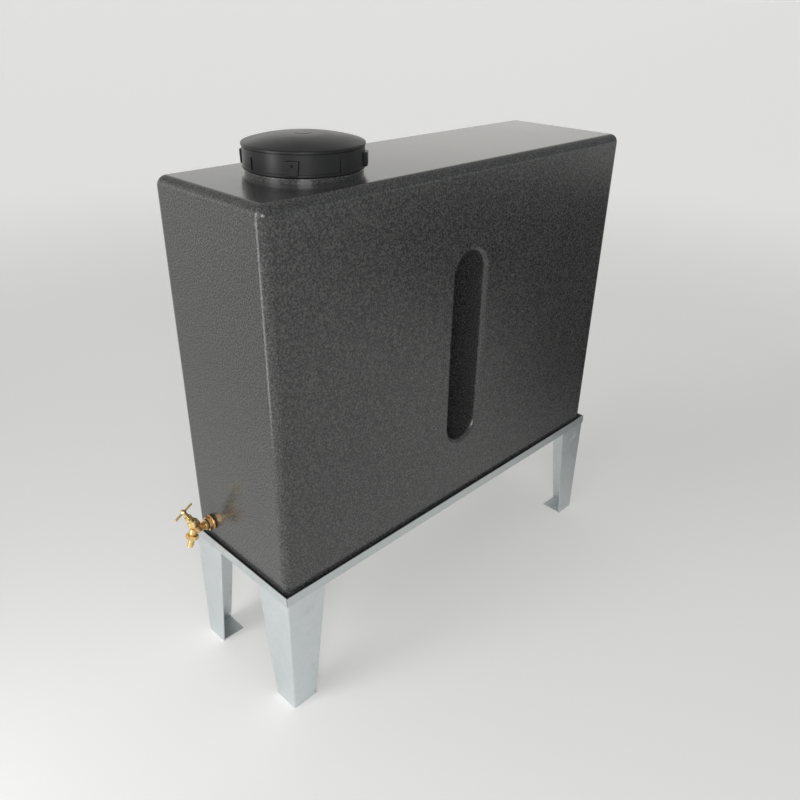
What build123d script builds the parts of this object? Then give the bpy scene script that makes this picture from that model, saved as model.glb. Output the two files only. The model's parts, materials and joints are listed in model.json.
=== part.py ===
from build123d import *
import os
from math import cos, radians, sin

# Slimline water butt on a welded steel stand, with a screw lid and a brass hose tap.
# Millimetres. X runs along the tank, the slotted front face looks to -Y, Z is up.
# The parts are drawn about the middle of the tank's footprint, and are moved at the end so that
# the origin is the middle of the whole object's footprint on the floor.

# ---- tank -----------------------------------------------------------------------------------
TANK_LENGTH = 1160.0
TANK_WIDTH = 350.0
TANK_BOTTOM = 325.0
TANK_TOP = 1197.0
TANK_WALL = 6.0
TANK_EDGE = 21.0            # radius of the upright and top edges
TANK_FOOT_EDGE = 12.0       # radius of the bottom edges
SLOT_X = -8.0               # middle of the upright recess
SLOT_WIDTH = 104.0          # inside its rounded rim
SLOT_HEIGHT = 492.0
SLOT_CENTRE_Z = 756.0
SLOT_RIM = 12.0
SLOT_DRAFT = 1.5            # degrees
SLOT_WEB = 12.0             # where the two recesses meet in the middle of the tank
BLOCK_MARGIN = 1.0          # the moulding's blocks part this far past its rounded edges

# ---- neck and lid -----------------------------------------------------------------------------
NECK_X = -341.0
NECK_OUTER = 111.0
NECK_BORE = 103.0
NECK_HEIGHT = 46.0
NECK_BEAD = 118.5
NECK_BEAD_HEIGHT = 11.0
NECK_THREAD = 113.2         # crest radius of the neck's thread ridges
SEAL_THICK = 3.4
LID_RADIUS = 120.8
LID_RIM = 122.6
LID_INSIDE = 115.8
LID_THREAD = 113.7          # crest radius of the lid's thread ridges
LID_FOOT = 12.5             # heights above the tank's top
LID_RIM_HEIGHT = 56.0
LID_SHOULDER = 60.0
LID_CROWN = 75.0
LID_SHEET = 4.0
LID_BAND = 6.0              # height of the wider band round the skirt's foot
LID_BOSS_WIDTH = 27.0
LID_BOSS_PROUD = 6.0
LID_BOSS_TURN = -49.2       # degrees, where the first of the four bosses stands
LID_DISC = 17.0

# ---- stand --------------------------------------------------------------------------------------
ANGLE = 25.0                # equal angle, 25 x 25 x 3
ANGLE_THICK = 3.0
FRAME_GAP = 6.0             # between the tank's side and the upstand
MITRE_GAP = 0.5
BEARER_X = 193.0
LEG_SHEET = 2.5
LEG_SET_BACK = 1.0
LEG_TOP = 106.0
LEG_FLOOR = 65.0
LEG_BEND = 4.0
FOOT = 64.0

# ---- tap ------------------------------------------------------------------------------------------
TAP_Y = 109.0
TAP_Z = 395.0
WASHER_THICK = 3.0
PORT_RADIUS = 13.4          # hole in the tank's wall
BARREL_RADIUS = 13.2
FLANGE_RADIUS = 18.5
HEX_ACROSS = 36.0           # across the corners
HEX_LONG = 10.0
INLET_RADIUS = 10.3
TAP_REACH = 41.5            # from the tank's wall to the spindle's line
SPINDLE_TILT = 25.2         # degrees, forward of upright
OUTLET_REACH = 53.5
OUTLET_TILT = 19.2          # degrees, forward of straight down
SPINDLE_RADIUS = 4.0
TEE_HEIGHT = 69.5           # along the spindle's line
TEE_LENGTH = 54.0
TEE_RADIUS = 2.75
TEE_TURN = 6.0
NUT_ACROSS = 31.0
TAIL_RADIUS = 7.0

HALF_LENGTH = TANK_LENGTH / 2
HALF_WIDTH = TANK_WIDTH / 2
FRAME_X = HALF_LENGTH + FRAME_GAP + ANGLE_THICK
FRAME_Y = HALF_WIDTH + FRAME_GAP + ANGLE_THICK
FRAME_FOOT = TANK_BOTTOM - ANGLE_THICK

UP = (Align.CENTER, Align.CENTER, Align.MIN)

WALL_PLANE = Plane(origin=(-HALF_LENGTH, TAP_Y, TAP_Z), x_dir=(0, 1, 0), z_dir=(-1, 0, 0))
SPINDLE_AXIS = (-sin(radians(SPINDLE_TILT)), 0, cos(radians(SPINDLE_TILT)))
SPINDLE_PLANE = Plane(
    origin=(-HALF_LENGTH - TAP_REACH, TAP_Y, TAP_Z),
    x_dir=(cos(radians(SPINDLE_TILT)), 0, sin(radians(SPINDLE_TILT))),
    z_dir=SPINDLE_AXIS,
)
OUTLET_AXIS = (-sin(radians(OUTLET_TILT)), 0, -cos(radians(OUTLET_TILT)))
OUTLET_PLANE = Plane(
    origin=(-HALF_LENGTH - OUTLET_REACH, TAP_Y, TAP_Z), x_dir=(0, 1, 0), z_dir=OUTLET_AXIS
)


def turned(points):
    """A solid of revolution about Z from (radius, height) corners."""
    outline = Polyline([(r, 0, z) for r, z in points], close=True)
    return revolve(make_face(outline), axis=Axis.Z)


def rod(radius, low, high):
    return Pos(0, 0, low) * Cylinder(radius, high - low, align=UP)


def ring(outer, inner, low, high):
    return rod(outer, low, high) - rod(inner, low, high)


def hexagon(across_corners, low, high, turn=0.0):
    outline = Rot(0, 0, turn) * RegularPolygon(across_corners / 2, 6)
    return Pos(0, 0, low) * extrude(outline, high - low)


def hex_nut(across_corners, low, high, chamfer_by=1.0, turn=0.0):
    """A hexagon whose corners are turned off at both ends, as on a machined nut."""
    prism = hexagon(across_corners, low, high, turn)
    corner = across_corners / 2
    blank = turned([
        (0, low),
        (corner - 1.6 * chamfer_by, low),
        (corner, low + chamfer_by),
        (corner, high - chamfer_by),
        (corner - 1.6 * chamfer_by, high),
        (0, high),
    ])
    return prism & blank


# ---- tank -------------------------------------------------------------------------------------


def rounded_box(length, width, low, high, edge, foot_edge):
    block = Pos(0, 0, low) * Box(length, width, high - low, align=UP)
    block = fillet(block.edges().filter_by(Axis.Z), edge)
    block = fillet(block.faces().sort_by(Axis.Z)[-1].edges(), edge - 0.5)
    return fillet(block.faces().sort_by(Axis.Z)[0].edges(), foot_edge)


def slot_core(side, grow=0.0):
    """The tapered stadium that the recess leaves, from one long face to the middle."""
    face_plane = Plane(
        origin=(SLOT_X, side * HALF_WIDTH, SLOT_CENTRE_Z), x_dir=(0, 0, 1), z_dir=(0, -side, 0)
    )
    outline = SlotOverall(SLOT_HEIGHT + 2 * grow, SLOT_WIDTH + 2 * grow)
    depth = HALF_WIDTH - SLOT_WEB / 2 + grow
    return extrude(face_plane * outline, depth, taper=SLOT_DRAFT)


def rim_edges(shape, side):
    """The recess's edge loop in one long face."""
    on_face = shape.edges().filter_by_position(Axis.Y, side * HALF_WIDTH - 0.01, side * HALF_WIDTH + 0.01)
    near = on_face.filter_by_position(Axis.X, SLOT_X - SLOT_WIDTH, SLOT_X + SLOT_WIDTH)
    reach = SLOT_HEIGHT / 2 + SLOT_RIM
    return near.filter_by_position(Axis.Z, SLOT_CENTRE_Z - reach, SLOT_CENTRE_Z + reach)


def neck():
    """Bead, threaded wall and its rounded lip, from inside the tank's roof upwards."""
    top = NECK_HEIGHT
    ridge = NECK_THREAD
    wall = [
        (NECK_BORE, -TANK_WALL),
        (NECK_BEAD, -TANK_WALL),
        (NECK_BEAD, NECK_BEAD_HEIGHT - 2.5),
        (NECK_BEAD - 2.0, NECK_BEAD_HEIGHT),
        (NECK_OUTER, NECK_BEAD_HEIGHT + 1.0),
        (NECK_OUTER, 18.0),
        (ridge, 19.5),
        (ridge, 21.0),
        (NECK_OUTER, 22.5),
        (NECK_OUTER, 31.0),
        (ridge, 32.5),
        (ridge, 34.0),
        (NECK_OUTER, 35.5),
        (NECK_OUTER, top - 1.5),
        (NECK_OUTER - 1.5, top),
        (NECK_BORE, top),
    ]
    return Pos(NECK_X, 0, TANK_TOP) * turned(wall)


def tank_shell():
    outside = rounded_box(TANK_LENGTH, TANK_WIDTH, TANK_BOTTOM, TANK_TOP, TANK_EDGE, TANK_FOOT_EDGE)
    for side in (-1, 1):
        outside -= slot_core(side)
        outside = fillet(rim_edges(outside, side), SLOT_RIM)
    inside = rounded_box(
        TANK_LENGTH - 2 * TANK_WALL,
        TANK_WIDTH - 2 * TANK_WALL,
        TANK_BOTTOM + TANK_WALL,
        TANK_TOP - TANK_WALL,
        TANK_EDGE - TANK_WALL,
        TANK_FOOT_EDGE - TANK_WALL,
    )
    for side in (-1, 1):
        inside -= slot_core(side, grow=TANK_WALL)
    bore = Pos(NECK_X, 0, TANK_TOP - 3 * TANK_WALL) * Cylinder(NECK_BORE, 5 * TANK_WALL, align=UP)
    port = WALL_PLANE * rod(PORT_RADIUS, -2 * TANK_WALL, TANK_WALL)
    return outside + neck() - inside - bore - port


def parted(blocks, plane):
    """Every block cut in two where the plane crosses it."""
    halves = []
    for block in blocks:
        for side in (Keep.TOP, Keep.BOTTOM):
            half = split(block, bisect_by=plane, keep=side)
            if half is not None:
                halves += half.solids()
    return halves


def across(axis, *places):
    """Planes square to an axis at the given places."""
    direction = {"x": (1, 0, 0), "y": (0, 1, 0), "z": (0, 0, 1)}[axis]
    return [Plane(origin=[place * part for part in direction], z_dir=direction) for place in places]


def within(blocks, axis, low, high):
    """The blocks whose middle lies between two places along an axis."""
    letter = axis.upper()
    return [block for block in blocks if low < getattr(block.center(), letter) < high]


def tank_blocks():
    """The one-piece moulding as plain touching blocks: trays, wall plates, slot walls and quarters
    of the neck. The hollow inside then stays a hollow for anything that reads the blocks."""
    end = TANK_LENGTH / 2 - TANK_EDGE - BLOCK_MARGIN
    slot = SLOT_WIDTH / 2 + SLOT_RIM + BLOCK_MARGIN
    slot_low = SLOT_CENTRE_Z - SLOT_HEIGHT / 2 - SLOT_RIM - BLOCK_MARGIN
    slot_high = SLOT_CENTRE_Z + SLOT_HEIGHT / 2 + SLOT_RIM + BLOCK_MARGIN
    floor = TANK_BOTTOM + TANK_FOOT_EDGE + BLOCK_MARGIN
    roof = TANK_TOP - TANK_EDGE - BLOCK_MARGIN
    blocks = [tank_shell().solid()]
    for plane in across("z", floor, roof):
        blocks = parted(blocks, plane)
    tray = within(blocks, "z", TANK_BOTTOM, floor)
    walls = within(blocks, "z", floor, roof)
    cover = within(blocks, "z", roof, TANK_TOP + NECK_HEIGHT)
    for plane in across("x", -end, SLOT_X - slot, SLOT_X + slot, end):
        walls = parted(walls, plane)
    middle = within(walls, "x", SLOT_X - slot, SLOT_X + slot)
    walls = [block for block in walls if block not in middle]
    for plane in across("z", slot_low, slot_high):
        middle = parted(middle, plane)
    recess = within(middle, "z", slot_low, slot_high)
    middle = [block for block in middle if block not in recess]
    for plane in across("y", -SLOT_WEB / 2, SLOT_WEB / 2):
        recess = parted(recess, plane)
    web = within(recess, "y", -SLOT_WEB / 2, SLOT_WEB / 2)
    recess = [block for block in recess if block not in web]
    recess = parted(recess, across("x", SLOT_X)[0])
    reach = NECK_BEAD + 2 * BLOCK_MARGIN
    for plane in across("x", NECK_X - reach, NECK_X + reach):
        cover = parted(cover, plane)
    round_neck = within(cover, "x", NECK_X - reach, NECK_X + reach)
    cover = [block for block in cover if block not in round_neck]
    for plane in across("x", NECK_X) + across("y", 0.0):
        round_neck = parted(round_neck, plane)
    blocks = tray + walls + middle + recess + web + cover + round_neck
    print("tank_shell in", len(blocks), "blocks")
    return Compound(children=blocks)


# ---- lid ----------------------------------------------------------------------------------------


def lid_blank():
    """The lid turned as one skirted cap, with its rim lip, domed crown and inner thread ridges."""
    rim = LID_RIM_HEIGHT
    crown = LID_CROWN
    under = NECK_HEIGHT + SEAL_THICK + 0.4
    shoulder = LID_RIM - 3.0
    dome_out = ThreePointArc(
        (shoulder, 0, LID_SHOULDER), (0.56 * LID_RIM, 0, crown - 3.0), (LID_DISC, 0, crown)
    )
    dome_in = ThreePointArc(
        (LID_DISC, 0, crown - LID_SHEET),
        (0.54 * LID_RIM, 0, crown - LID_SHEET - 4.0),
        (NECK_BORE - 3, 0, under),
    )
    outline = [
        Polyline([
            (LID_INSIDE, 0, LID_FOOT),
            (LID_RADIUS + 1.4, 0, LID_FOOT),
            (LID_RADIUS + 1.4, 0, LID_FOOT + LID_BAND - 1),
            (LID_RADIUS, 0, LID_FOOT + LID_BAND),
            (LID_RADIUS, 0, rim - 3.0),
            (LID_RADIUS - 0.8, 0, rim - 2.4),
            (LID_RADIUS - 0.8, 0, rim - 1.4),
            (LID_RIM, 0, rim - 0.8),
            (LID_RIM, 0, LID_SHOULDER - 2.2),
            (LID_RIM - 1.2, 0, LID_SHOULDER - 0.5),
            (shoulder, 0, LID_SHOULDER),
        ]),
        dome_out,
        Polyline([
            (LID_DISC, 0, crown),
            (LID_DISC - 0.5, 0, crown + 0.5),
            (0, 0, crown + 0.5),
            (0, 0, crown - LID_SHEET),
            (LID_DISC, 0, crown - LID_SHEET),
        ]),
        dome_in,
        Polyline([
            (NECK_BORE - 3, 0, under),
            (LID_INSIDE, 0, under),
            (LID_INSIDE, 0, 30.0),
            (LID_THREAD, 0, 28.6),
            (LID_THREAD, 0, 27.2),
            (LID_INSIDE, 0, 25.8),
            (LID_INSIDE, 0, 17.0),
            (LID_THREAD, 0, 15.6),
            (LID_THREAD, 0, 14.2),
            (LID_INSIDE, 0, 12.8),
            (LID_INSIDE, 0, LID_FOOT),
        ]),
    ]
    edges = [edge for stretch in outline for edge in stretch.edges()]
    return revolve(make_face(edges), axis=Axis.Z)


def lid_boss(turn):
    """A grip boss: a block on the skirt with a round hole, narrower towards its foot."""
    high = LID_RIM_HEIGHT - 13.0
    low = LID_FOOT + 2.5
    narrowing = 3.2
    face = make_face(Polyline([
        (-LID_BOSS_WIDTH / 2, high),
        (LID_BOSS_WIDTH / 2, high),
        (LID_BOSS_WIDTH / 2 - narrowing, low),
        (narrowing - LID_BOSS_WIDTH / 2, low),
    ], close=True))
    reach = LID_RADIUS + LID_BOSS_PROUD
    block = extrude(Plane(origin=(reach, 0, 0), x_dir=(0, 1, 0), z_dir=(1, 0, 0)) * face, -LID_BOSS_PROUD - 3)
    hole = Pos(reach, 0, high - 8) * Rot(0, 90, 0) * Cylinder(3.0, 2 * LID_BOSS_PROUD)
    return Rot(0, 0, turn) * (fillet(block.edges().filter_by(Axis.X), 2.0) - hole)


def lid_rib(turn):
    low = LID_FOOT + LID_BAND - 1
    high = LID_RIM_HEIGHT - 15.0
    rib = Pos(LID_RADIUS - 1.0, 0, low) * Box(3.6, 3.2, high - low, align=(Align.MIN, Align.CENTER, Align.MIN))
    return Rot(0, 0, turn) * fillet(rib.edges().filter_by(Axis.Z), 0.8)


def lid():
    cap = lid_blank()
    for quarter in range(4):
        cap += lid_boss(LID_BOSS_TURN + 90 * quarter)
        cap += lid_rib(LID_BOSS_TURN + 45 + 90 * quarter)
    return Pos(NECK_X, 0, TANK_TOP) * cap


def lid_seal():
    low = NECK_HEIGHT + 0.2
    return Pos(NECK_X, 0, TANK_TOP) * ring(NECK_OUTER, NECK_BORE + 1, low, low + SEAL_THICK)


# ---- stand --------------------------------------------------------------------------------------


def angle_bar(length):
    """Angle lying along X: upstand on the -Y side, shelf towards +Y, corner at the origin."""
    outline = Polyline([
        (0, 0, 0),
        (0, ANGLE, 0),
        (0, ANGLE, ANGLE_THICK),
        (0, ANGLE_THICK, ANGLE_THICK),
        (0, ANGLE_THICK, ANGLE),
        (0, 0, ANGLE),
    ], close=True)
    bar = extrude(make_face(outline), length / 2, both=True, dir=(1, 0, 0))
    root = bar.edges().filter_by(Axis.X).filter_by_position(Axis.Y, ANGLE_THICK - 0.1, ANGLE_THICK + 0.1)
    bar = fillet(root.filter_by_position(Axis.Z, ANGLE_THICK - 0.1, ANGLE_THICK + 0.1), 3.0)
    toe = bar.edges().filter_by(Axis.X).filter_by_position(Axis.Z, ANGLE - 0.1, ANGLE + 0.1)
    return fillet(toe.filter_by_position(Axis.Y, ANGLE_THICK - 0.1, ANGLE_THICK + 0.1), 1.5)


def mitred_rail(length):
    """An angle bar whose two ends are cut at 45 degrees, so four of them make the frame."""
    bar = angle_bar(length)
    reach = 3 * ANGLE
    for end in (-1, 1):
        corner = end * (length / 2 - MITRE_GAP)
        waste = Polyline([
            (corner, 0),
            (corner - end * reach, reach),
            (corner + end * reach, reach),
            (corner + end * reach, -reach),
            (corner, -reach),
        ], close=True)
        bar -= Pos(0, 0, -ANGLE) * extrude(make_face(waste), 3 * ANGLE)
    return bar


def rails():
    long_rail = Pos(0, -FRAME_Y, FRAME_FOOT) * mitred_rail(2 * FRAME_X)
    short_rail = Pos(0, -FRAME_X, FRAME_FOOT) * mitred_rail(2 * FRAME_Y)
    return {
        "front_rail": long_rail,
        "back_rail": Rot(0, 0, 180) * long_rail,
        "left_rail": Rot(0, 0, -90) * short_rail,
        "right_rail": Rot(0, 0, 90) * short_rail,
    }


def bearer(x):
    """A cross angle under the tank, butted between the shelves of the two long rails."""
    span = 2 * (FRAME_Y - ANGLE)
    bar = Rot(180, 0, 0) * angle_bar(span)
    return Pos(x, 0, TANK_BOTTOM) * Rot(0, 0, 90) * bar


def leg():
    """The front left leg: sheet folded along its upright corner, tapering to a foot plate."""
    low = LEG_SHEET
    outer_x = -FRAME_X + LEG_SET_BACK
    outer_y = -FRAME_Y + LEG_SET_BACK
    fold = Polyline([
        (0, LEG_TOP),
        (0, 0),
        (LEG_TOP, 0),
        (LEG_TOP, LEG_SHEET),
        (LEG_SHEET, LEG_SHEET),
        (LEG_SHEET, LEG_TOP),
    ], close=True)
    sheet = extrude(make_face(fold), FRAME_FOOT)
    upright = sheet.edges().filter_by(Axis.Z)
    sheet = fillet(upright.filter_by_position(Axis.X, -0.1, 0.1).filter_by_position(Axis.Y, -0.1, 0.1), LEG_BEND)
    upright = sheet.edges().filter_by(Axis.Z)
    inner = upright.filter_by_position(Axis.X, LEG_SHEET - 0.1, LEG_SHEET + 0.1)
    inner = inner.filter_by_position(Axis.Y, LEG_SHEET - 0.1, LEG_SHEET + 0.1)
    sheet = fillet(inner, LEG_BEND - LEG_SHEET)
    waste = Polyline([
        (LEG_FLOOR, 0),
        (LEG_TOP - 3.0, FRAME_FOOT - 12.0),
        (LEG_TOP, FRAME_FOOT - 12.0),
        (LEG_TOP, FRAME_FOOT),
        (2 * LEG_TOP, FRAME_FOOT),
        (2 * LEG_TOP, -1),
        (LEG_FLOOR, -1),
    ], close=True)
    for cutter_plane in (Plane.XZ, Plane.YZ):
        sheet -= extrude(cutter_plane * make_face(waste), LEG_TOP, both=True)
    foot = Box(FOOT, FOOT, LEG_SHEET, align=(Align.MIN, Align.MIN, Align.MIN))
    corner = foot.edges().filter_by(Axis.Z).filter_by_position(Axis.X, FOOT - 0.1, FOOT + 0.1)
    foot = fillet(corner.filter_by_position(Axis.Y, FOOT - 0.1, FOOT + 0.1), 3.0)
    near = foot.edges().filter_by(Axis.Z).filter_by_position(Axis.X, -0.1, 0.1)
    foot = fillet(near.filter_by_position(Axis.Y, -0.1, 0.1), LEG_BEND)
    relief = Pos(LEG_FLOOR, 0, low + 6) * Rot(90, 0, 0) * Cylinder(3.0, 4 * LEG_SHEET)
    return Pos(outer_x, outer_y, 0) * (sheet + foot - relief)


def legs():
    front_left = leg()
    front_right = mirror(front_left, Plane.YZ)
    return {
        "leg_front_left": front_left,
        "leg_front_right": front_right,
        "leg_back_left": mirror(front_left, Plane.XZ),
        "leg_back_right": mirror(front_right, Plane.XZ),
    }


# ---- tank connector ---------------------------------------------------------------------------


def connector_pieces():
    """The threaded bush through the wall, its two rubber washers and the back nut inside."""
    hex_from = 2 * WASHER_THICK
    hex_to = hex_from + HEX_LONG
    bush = rod(FLANGE_RADIUS, WASHER_THICK, hex_from) + hex_nut(HEX_ACROSS, hex_from, hex_to, 1.2, 10)
    bush += rod(BARREL_RADIUS, -22, WASHER_THICK)
    bush -= rod(INLET_RADIUS + 0.1, WASHER_THICK, hex_to)
    bush -= rod(8.0, -22, WASHER_THICK)
    inner = -TANK_WALL - WASHER_THICK
    pieces = {
        "tank_connector": bush,
        "outer_wall_washer": ring(18.0, PORT_RADIUS, 0, WASHER_THICK),
        "inner_wall_washer": ring(20.0, PORT_RADIUS, inner, -TANK_WALL),
        "back_nut": hex_nut(40.0, inner - 8, inner) - rod(BARREL_RADIUS + 0.1, inner - 8, inner),
        "tap_joint_washer": ring(13.0, INLET_RADIUS + 0.1, hex_to, hex_to + 2),
    }
    return {name: WALL_PLANE * piece for name, piece in pieces.items()}


# ---- tap --------------------------------------------------------------------------------------

CHAMBER_RADIUS = 13.0
COLLAR_RADIUS = 14.0        # machined face under the bonnet
TUBE_RADIUS = 10.0          # the casting's inlet tube
OUTLET_RADIUS = 9.0
OUTLET_THREAD = 10.3
INLET_WAY = 5.5             # radii of the waterway
SEAT_WAY = 3.5
OUTLET_WAY = 4.5
VALVE_SPACE = 9.0
BONNET_THREAD = 10.4
SCREW_RADIUS = 6.0          # the spindle's threaded foot, and the stuffing box
BALL_RADIUS = 6.9
HUB_FOOT = 54.5
SQUARE_FROM = 58.0          # the spindle's square top
SQUARE_SIDE = 5.6
GRUB_SCREW_AT = 60.5
SEAT = 5.0                  # heights along the spindle's line from the inlet's line
BODY_TOP = 17.0
BONNET_HEX_TOP = 26.0
BELL_TOP = 43.0
GLAND_TOP = 52.0
SPIGOT_END = 15.0           # distances along the outlet's line
NUT_FROM = 9.5
NUT_TO = 19.5
TAIL_END = 42.0


def tap_body():
    """Cast body: threaded inlet, chamber under the bonnet and threaded outlet, with one way
    through from the inlet, up through the seat and down the outlet."""
    face = 2 * WASHER_THICK + HEX_LONG + 2
    inlet = rod(INLET_RADIUS, face - 13, face) + rod(CHAMBER_RADIUS, face, face + 5)
    inlet += rod(TUBE_RADIUS, face + 5, TAP_REACH)
    chamber = Pos(0, 0, 3) * Sphere(CHAMBER_RADIUS) + rod(CHAMBER_RADIUS, 3, BODY_TOP - 2)
    chamber += rod(COLLAR_RADIUS, BODY_TOP - 5, BODY_TOP)
    outlet = rod(OUTLET_RADIUS, -6, SPIGOT_END - 6) + rod(OUTLET_THREAD, NUT_FROM - 1.5, SPIGOT_END)
    solid = WALL_PLANE * inlet + SPINDLE_PLANE * chamber + OUTLET_PLANE * outlet
    solid -= WALL_PLANE * rod(INLET_WAY, face - 13, TAP_REACH)
    hollow = rod(SEAT_WAY, 0, SEAT) + rod(VALVE_SPACE, SEAT, SEAT + 3)
    solid -= SPINDLE_PLANE * (hollow + rod(BONNET_THREAD, SEAT + 3, BODY_TOP))
    return solid - OUTLET_PLANE * rod(OUTLET_WAY, -6, SPIGOT_END)


def bonnet():
    """The headgear: threaded skirt, hexagon, bell and stuffing box."""
    skirt = rod(BONNET_THREAD - 0.2, SEAT + 4, BODY_TOP + 1)
    bell = turned([
        (0, BONNET_HEX_TOP),
        (13.0, BONNET_HEX_TOP),
        (12.4, BONNET_HEX_TOP + 2),
        (9.6, BELL_TOP - 7),
        (8.2, BELL_TOP),
        (0, BELL_TOP),
    ])
    solid = skirt + hex_nut(30.0, BODY_TOP + 1, BONNET_HEX_TOP, 1.0, 15) + bell
    solid -= rod(SCREW_RADIUS + 0.3, SEAT + 4, BONNET_HEX_TOP + 6)
    solid -= rod(SPINDLE_RADIUS + 0.3, BONNET_HEX_TOP, BELL_TOP)
    return solid - rod(SCREW_RADIUS, BELL_TOP - 6, BELL_TOP)


def spindle():
    """Threaded foot, plain stem and square top, drilled at the foot for the valve's stem."""
    foot = SEAT + 5.5
    stem = rod(SCREW_RADIUS, foot, 24) + rod(SPINDLE_RADIUS, 24, SQUARE_FROM)
    stem += Pos(0, 0, SQUARE_FROM) * Box(SQUARE_SIDE, SQUARE_SIDE, 6.0, align=UP)
    return stem - rod(2.6, foot, 20)


def tee_hub():
    """The handle's boss: a neck on the spindle's square and a ball that holds the bar."""
    neck_part = turned([(0, HUB_FOOT), (5.6, HUB_FOOT), (5.6, HUB_FOOT + 2), (4.9, 60), (5.0, 66), (0, 66)])
    ball = Pos(0, 0, TEE_HEIGHT) * Sphere(BALL_RADIUS)
    hub = neck_part + ball + rod(4.2, TEE_HEIGHT, TEE_HEIGHT + 7.4)
    square = Pos(0, 0, SQUARE_FROM - 0.1) * Box(SQUARE_SIDE + 0.2, SQUARE_SIDE + 0.2, 6.2, align=UP)
    hub -= square + rod(SPINDLE_RADIUS + 0.1, HUB_FOOT, SQUARE_FROM)
    hub -= Pos(0, 0, TEE_HEIGHT) * Rot(0, 90, 0) * Cylinder(TEE_RADIUS + 0.05, 20)
    return hub - Pos(0, 0, GRUB_SCREW_AT) * Rot(90, 0, 0) * Pos(0, 0, 4.4) * Cylinder(1.6, 5.0)


def tee_bar():
    bar = Cylinder(TEE_RADIUS, TEE_LENGTH)
    return Pos(0, 0, TEE_HEIGHT) * Rot(0, 90, 0) * fillet(bar.edges().filter_by(GeomType.CIRCLE), 1.2)


def grub_screw():
    return Pos(0, 0, GRUB_SCREW_AT) * Rot(90, 0, 0) * Pos(0, 0, 4.0) * Cylinder(1.5, 2.0)


def spindle_pieces():
    """Everything that is centred on the spindle's line."""
    turn = Rot(0, 0, TEE_TURN)
    packing = ring(5.9, SPINDLE_RADIUS + 0.06, BELL_TOP - 6, BELL_TOP - 1)
    gland = hex_nut(17.0, BELL_TOP, GLAND_TOP, 0.8) - rod(SPINDLE_RADIUS + 0.3, BELL_TOP, GLAND_TOP)
    gland += ring(5.9, SPINDLE_RADIUS + 0.3, BELL_TOP - 1, BELL_TOP)
    valve = rod(5.9, 7.4, 9.4) + rod(2.2, 9.4, 19) + rod(1.3, 2.2, 7.4)
    pieces = {
        "bonnet": bonnet(),
        "bonnet_washer": ring(13.8, 10.3, BODY_TOP, BODY_TOP + 1),
        "gland_packing": packing,
        "gland_nut": gland,
        "spindle": turn * spindle(),
        "tee_hub": turn * tee_hub(),
        "tee_bar": turn * tee_bar(),
        "handle_grub_screw": turn * grub_screw(),
        "jumper_valve": valve,
        "seat_washer": ring(5.6, 1.4, SEAT + 0.1, 7.4),
        "washer_nut": hexagon(5.4, 3.2, SEAT + 0.05) - rod(1.4, 3.2, SEAT + 0.05),
    }
    return {name: SPINDLE_PLANE * piece for name, piece in pieces.items()}


def hose_tail():
    """Flanged tail with three barbs that a hose is pushed over."""
    flange = SPIGOT_END + 0.9
    first = NUT_TO + 2.5
    pitch = 6.0
    points = [(0, flange), (10.2, flange), (10.2, flange + 1.8), (TAIL_RADIUS, flange + 1.8)]
    for barb in range(3):
        start = first + barb * pitch
        points += [(TAIL_RADIUS, start), (TAIL_RADIUS + 0.9, start + 0.2), (TAIL_RADIUS, start + pitch - 0.8)]
    points += [(TAIL_RADIUS, TAIL_END - 1), (TAIL_RADIUS - 1, TAIL_END), (0, TAIL_END)]
    return turned(points) - rod(5.0, flange, TAIL_END)


def hose_pieces():
    """The union on the outlet: washer, tail and the nut that draws the tail up."""
    lip = NUT_TO - 1.5
    nut = hex_nut(NUT_ACROSS, NUT_FROM, NUT_TO, 1.2)
    nut -= rod(10.7, NUT_FROM, lip) + rod(TAIL_RADIUS + 0.6, lip, NUT_TO)
    pieces = {
        "hose_union_washer": ring(10.0, 5.0, SPIGOT_END, SPIGOT_END + 0.9),
        "hose_tail": hose_tail(),
        "hose_union_nut": nut,
    }
    return {name: OUTLET_PLANE * piece for name, piece in pieces.items()}


# ---- assembly -----------------------------------------------------------------------------------


def all_pieces():
    pieces = {"tank_shell": tank_blocks(), "lid": lid(), "lid_seal": lid_seal()}
    pieces.update(rails())
    pieces["bearer_left"] = bearer(-BEARER_X)
    pieces["bearer_right"] = bearer(BEARER_X)
    pieces.update(legs())
    pieces.update(connector_pieces())
    pieces["tap_body"] = tap_body()
    pieces.update(spindle_pieces())
    pieces.update(hose_pieces())
    return pieces


def main():
    os.makedirs("parts", exist_ok=True)
    pieces = all_pieces()
    whole = Compound(children=[Compound([piece]) for piece in pieces.values()]).bounding_box()
    shift = Pos(-(whole.min.X + whole.max.X) / 2, -(whole.min.Y + whole.max.Y) / 2, -whole.min.Z)
    print("moved by", [round(v, 4) for v in shift.position])
    for name, piece in pieces.items():
        export_step(shift * piece, f"parts/{name}.step")


main()
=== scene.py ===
# %% [markdown]
# # A slim rainwater tank on its steel stand
#
# This lesson dresses a finished engineering model. The tank, its screw lid, the welded stand and
# the brass tap already exist as plain solids at their real size. We load them as a fixed frame,
# and model the same things again with the softness, edges and surfaces that the real ones have.
# Nothing may grow, shrink or move, so every place and size below is read from the frame or named
# once as a real measure in metres.

import json
from contextlib import contextmanager
from math import cos, pi, radians, sin, tan

import bmesh
import bpy
from mathutils import Matrix, Vector


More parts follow.
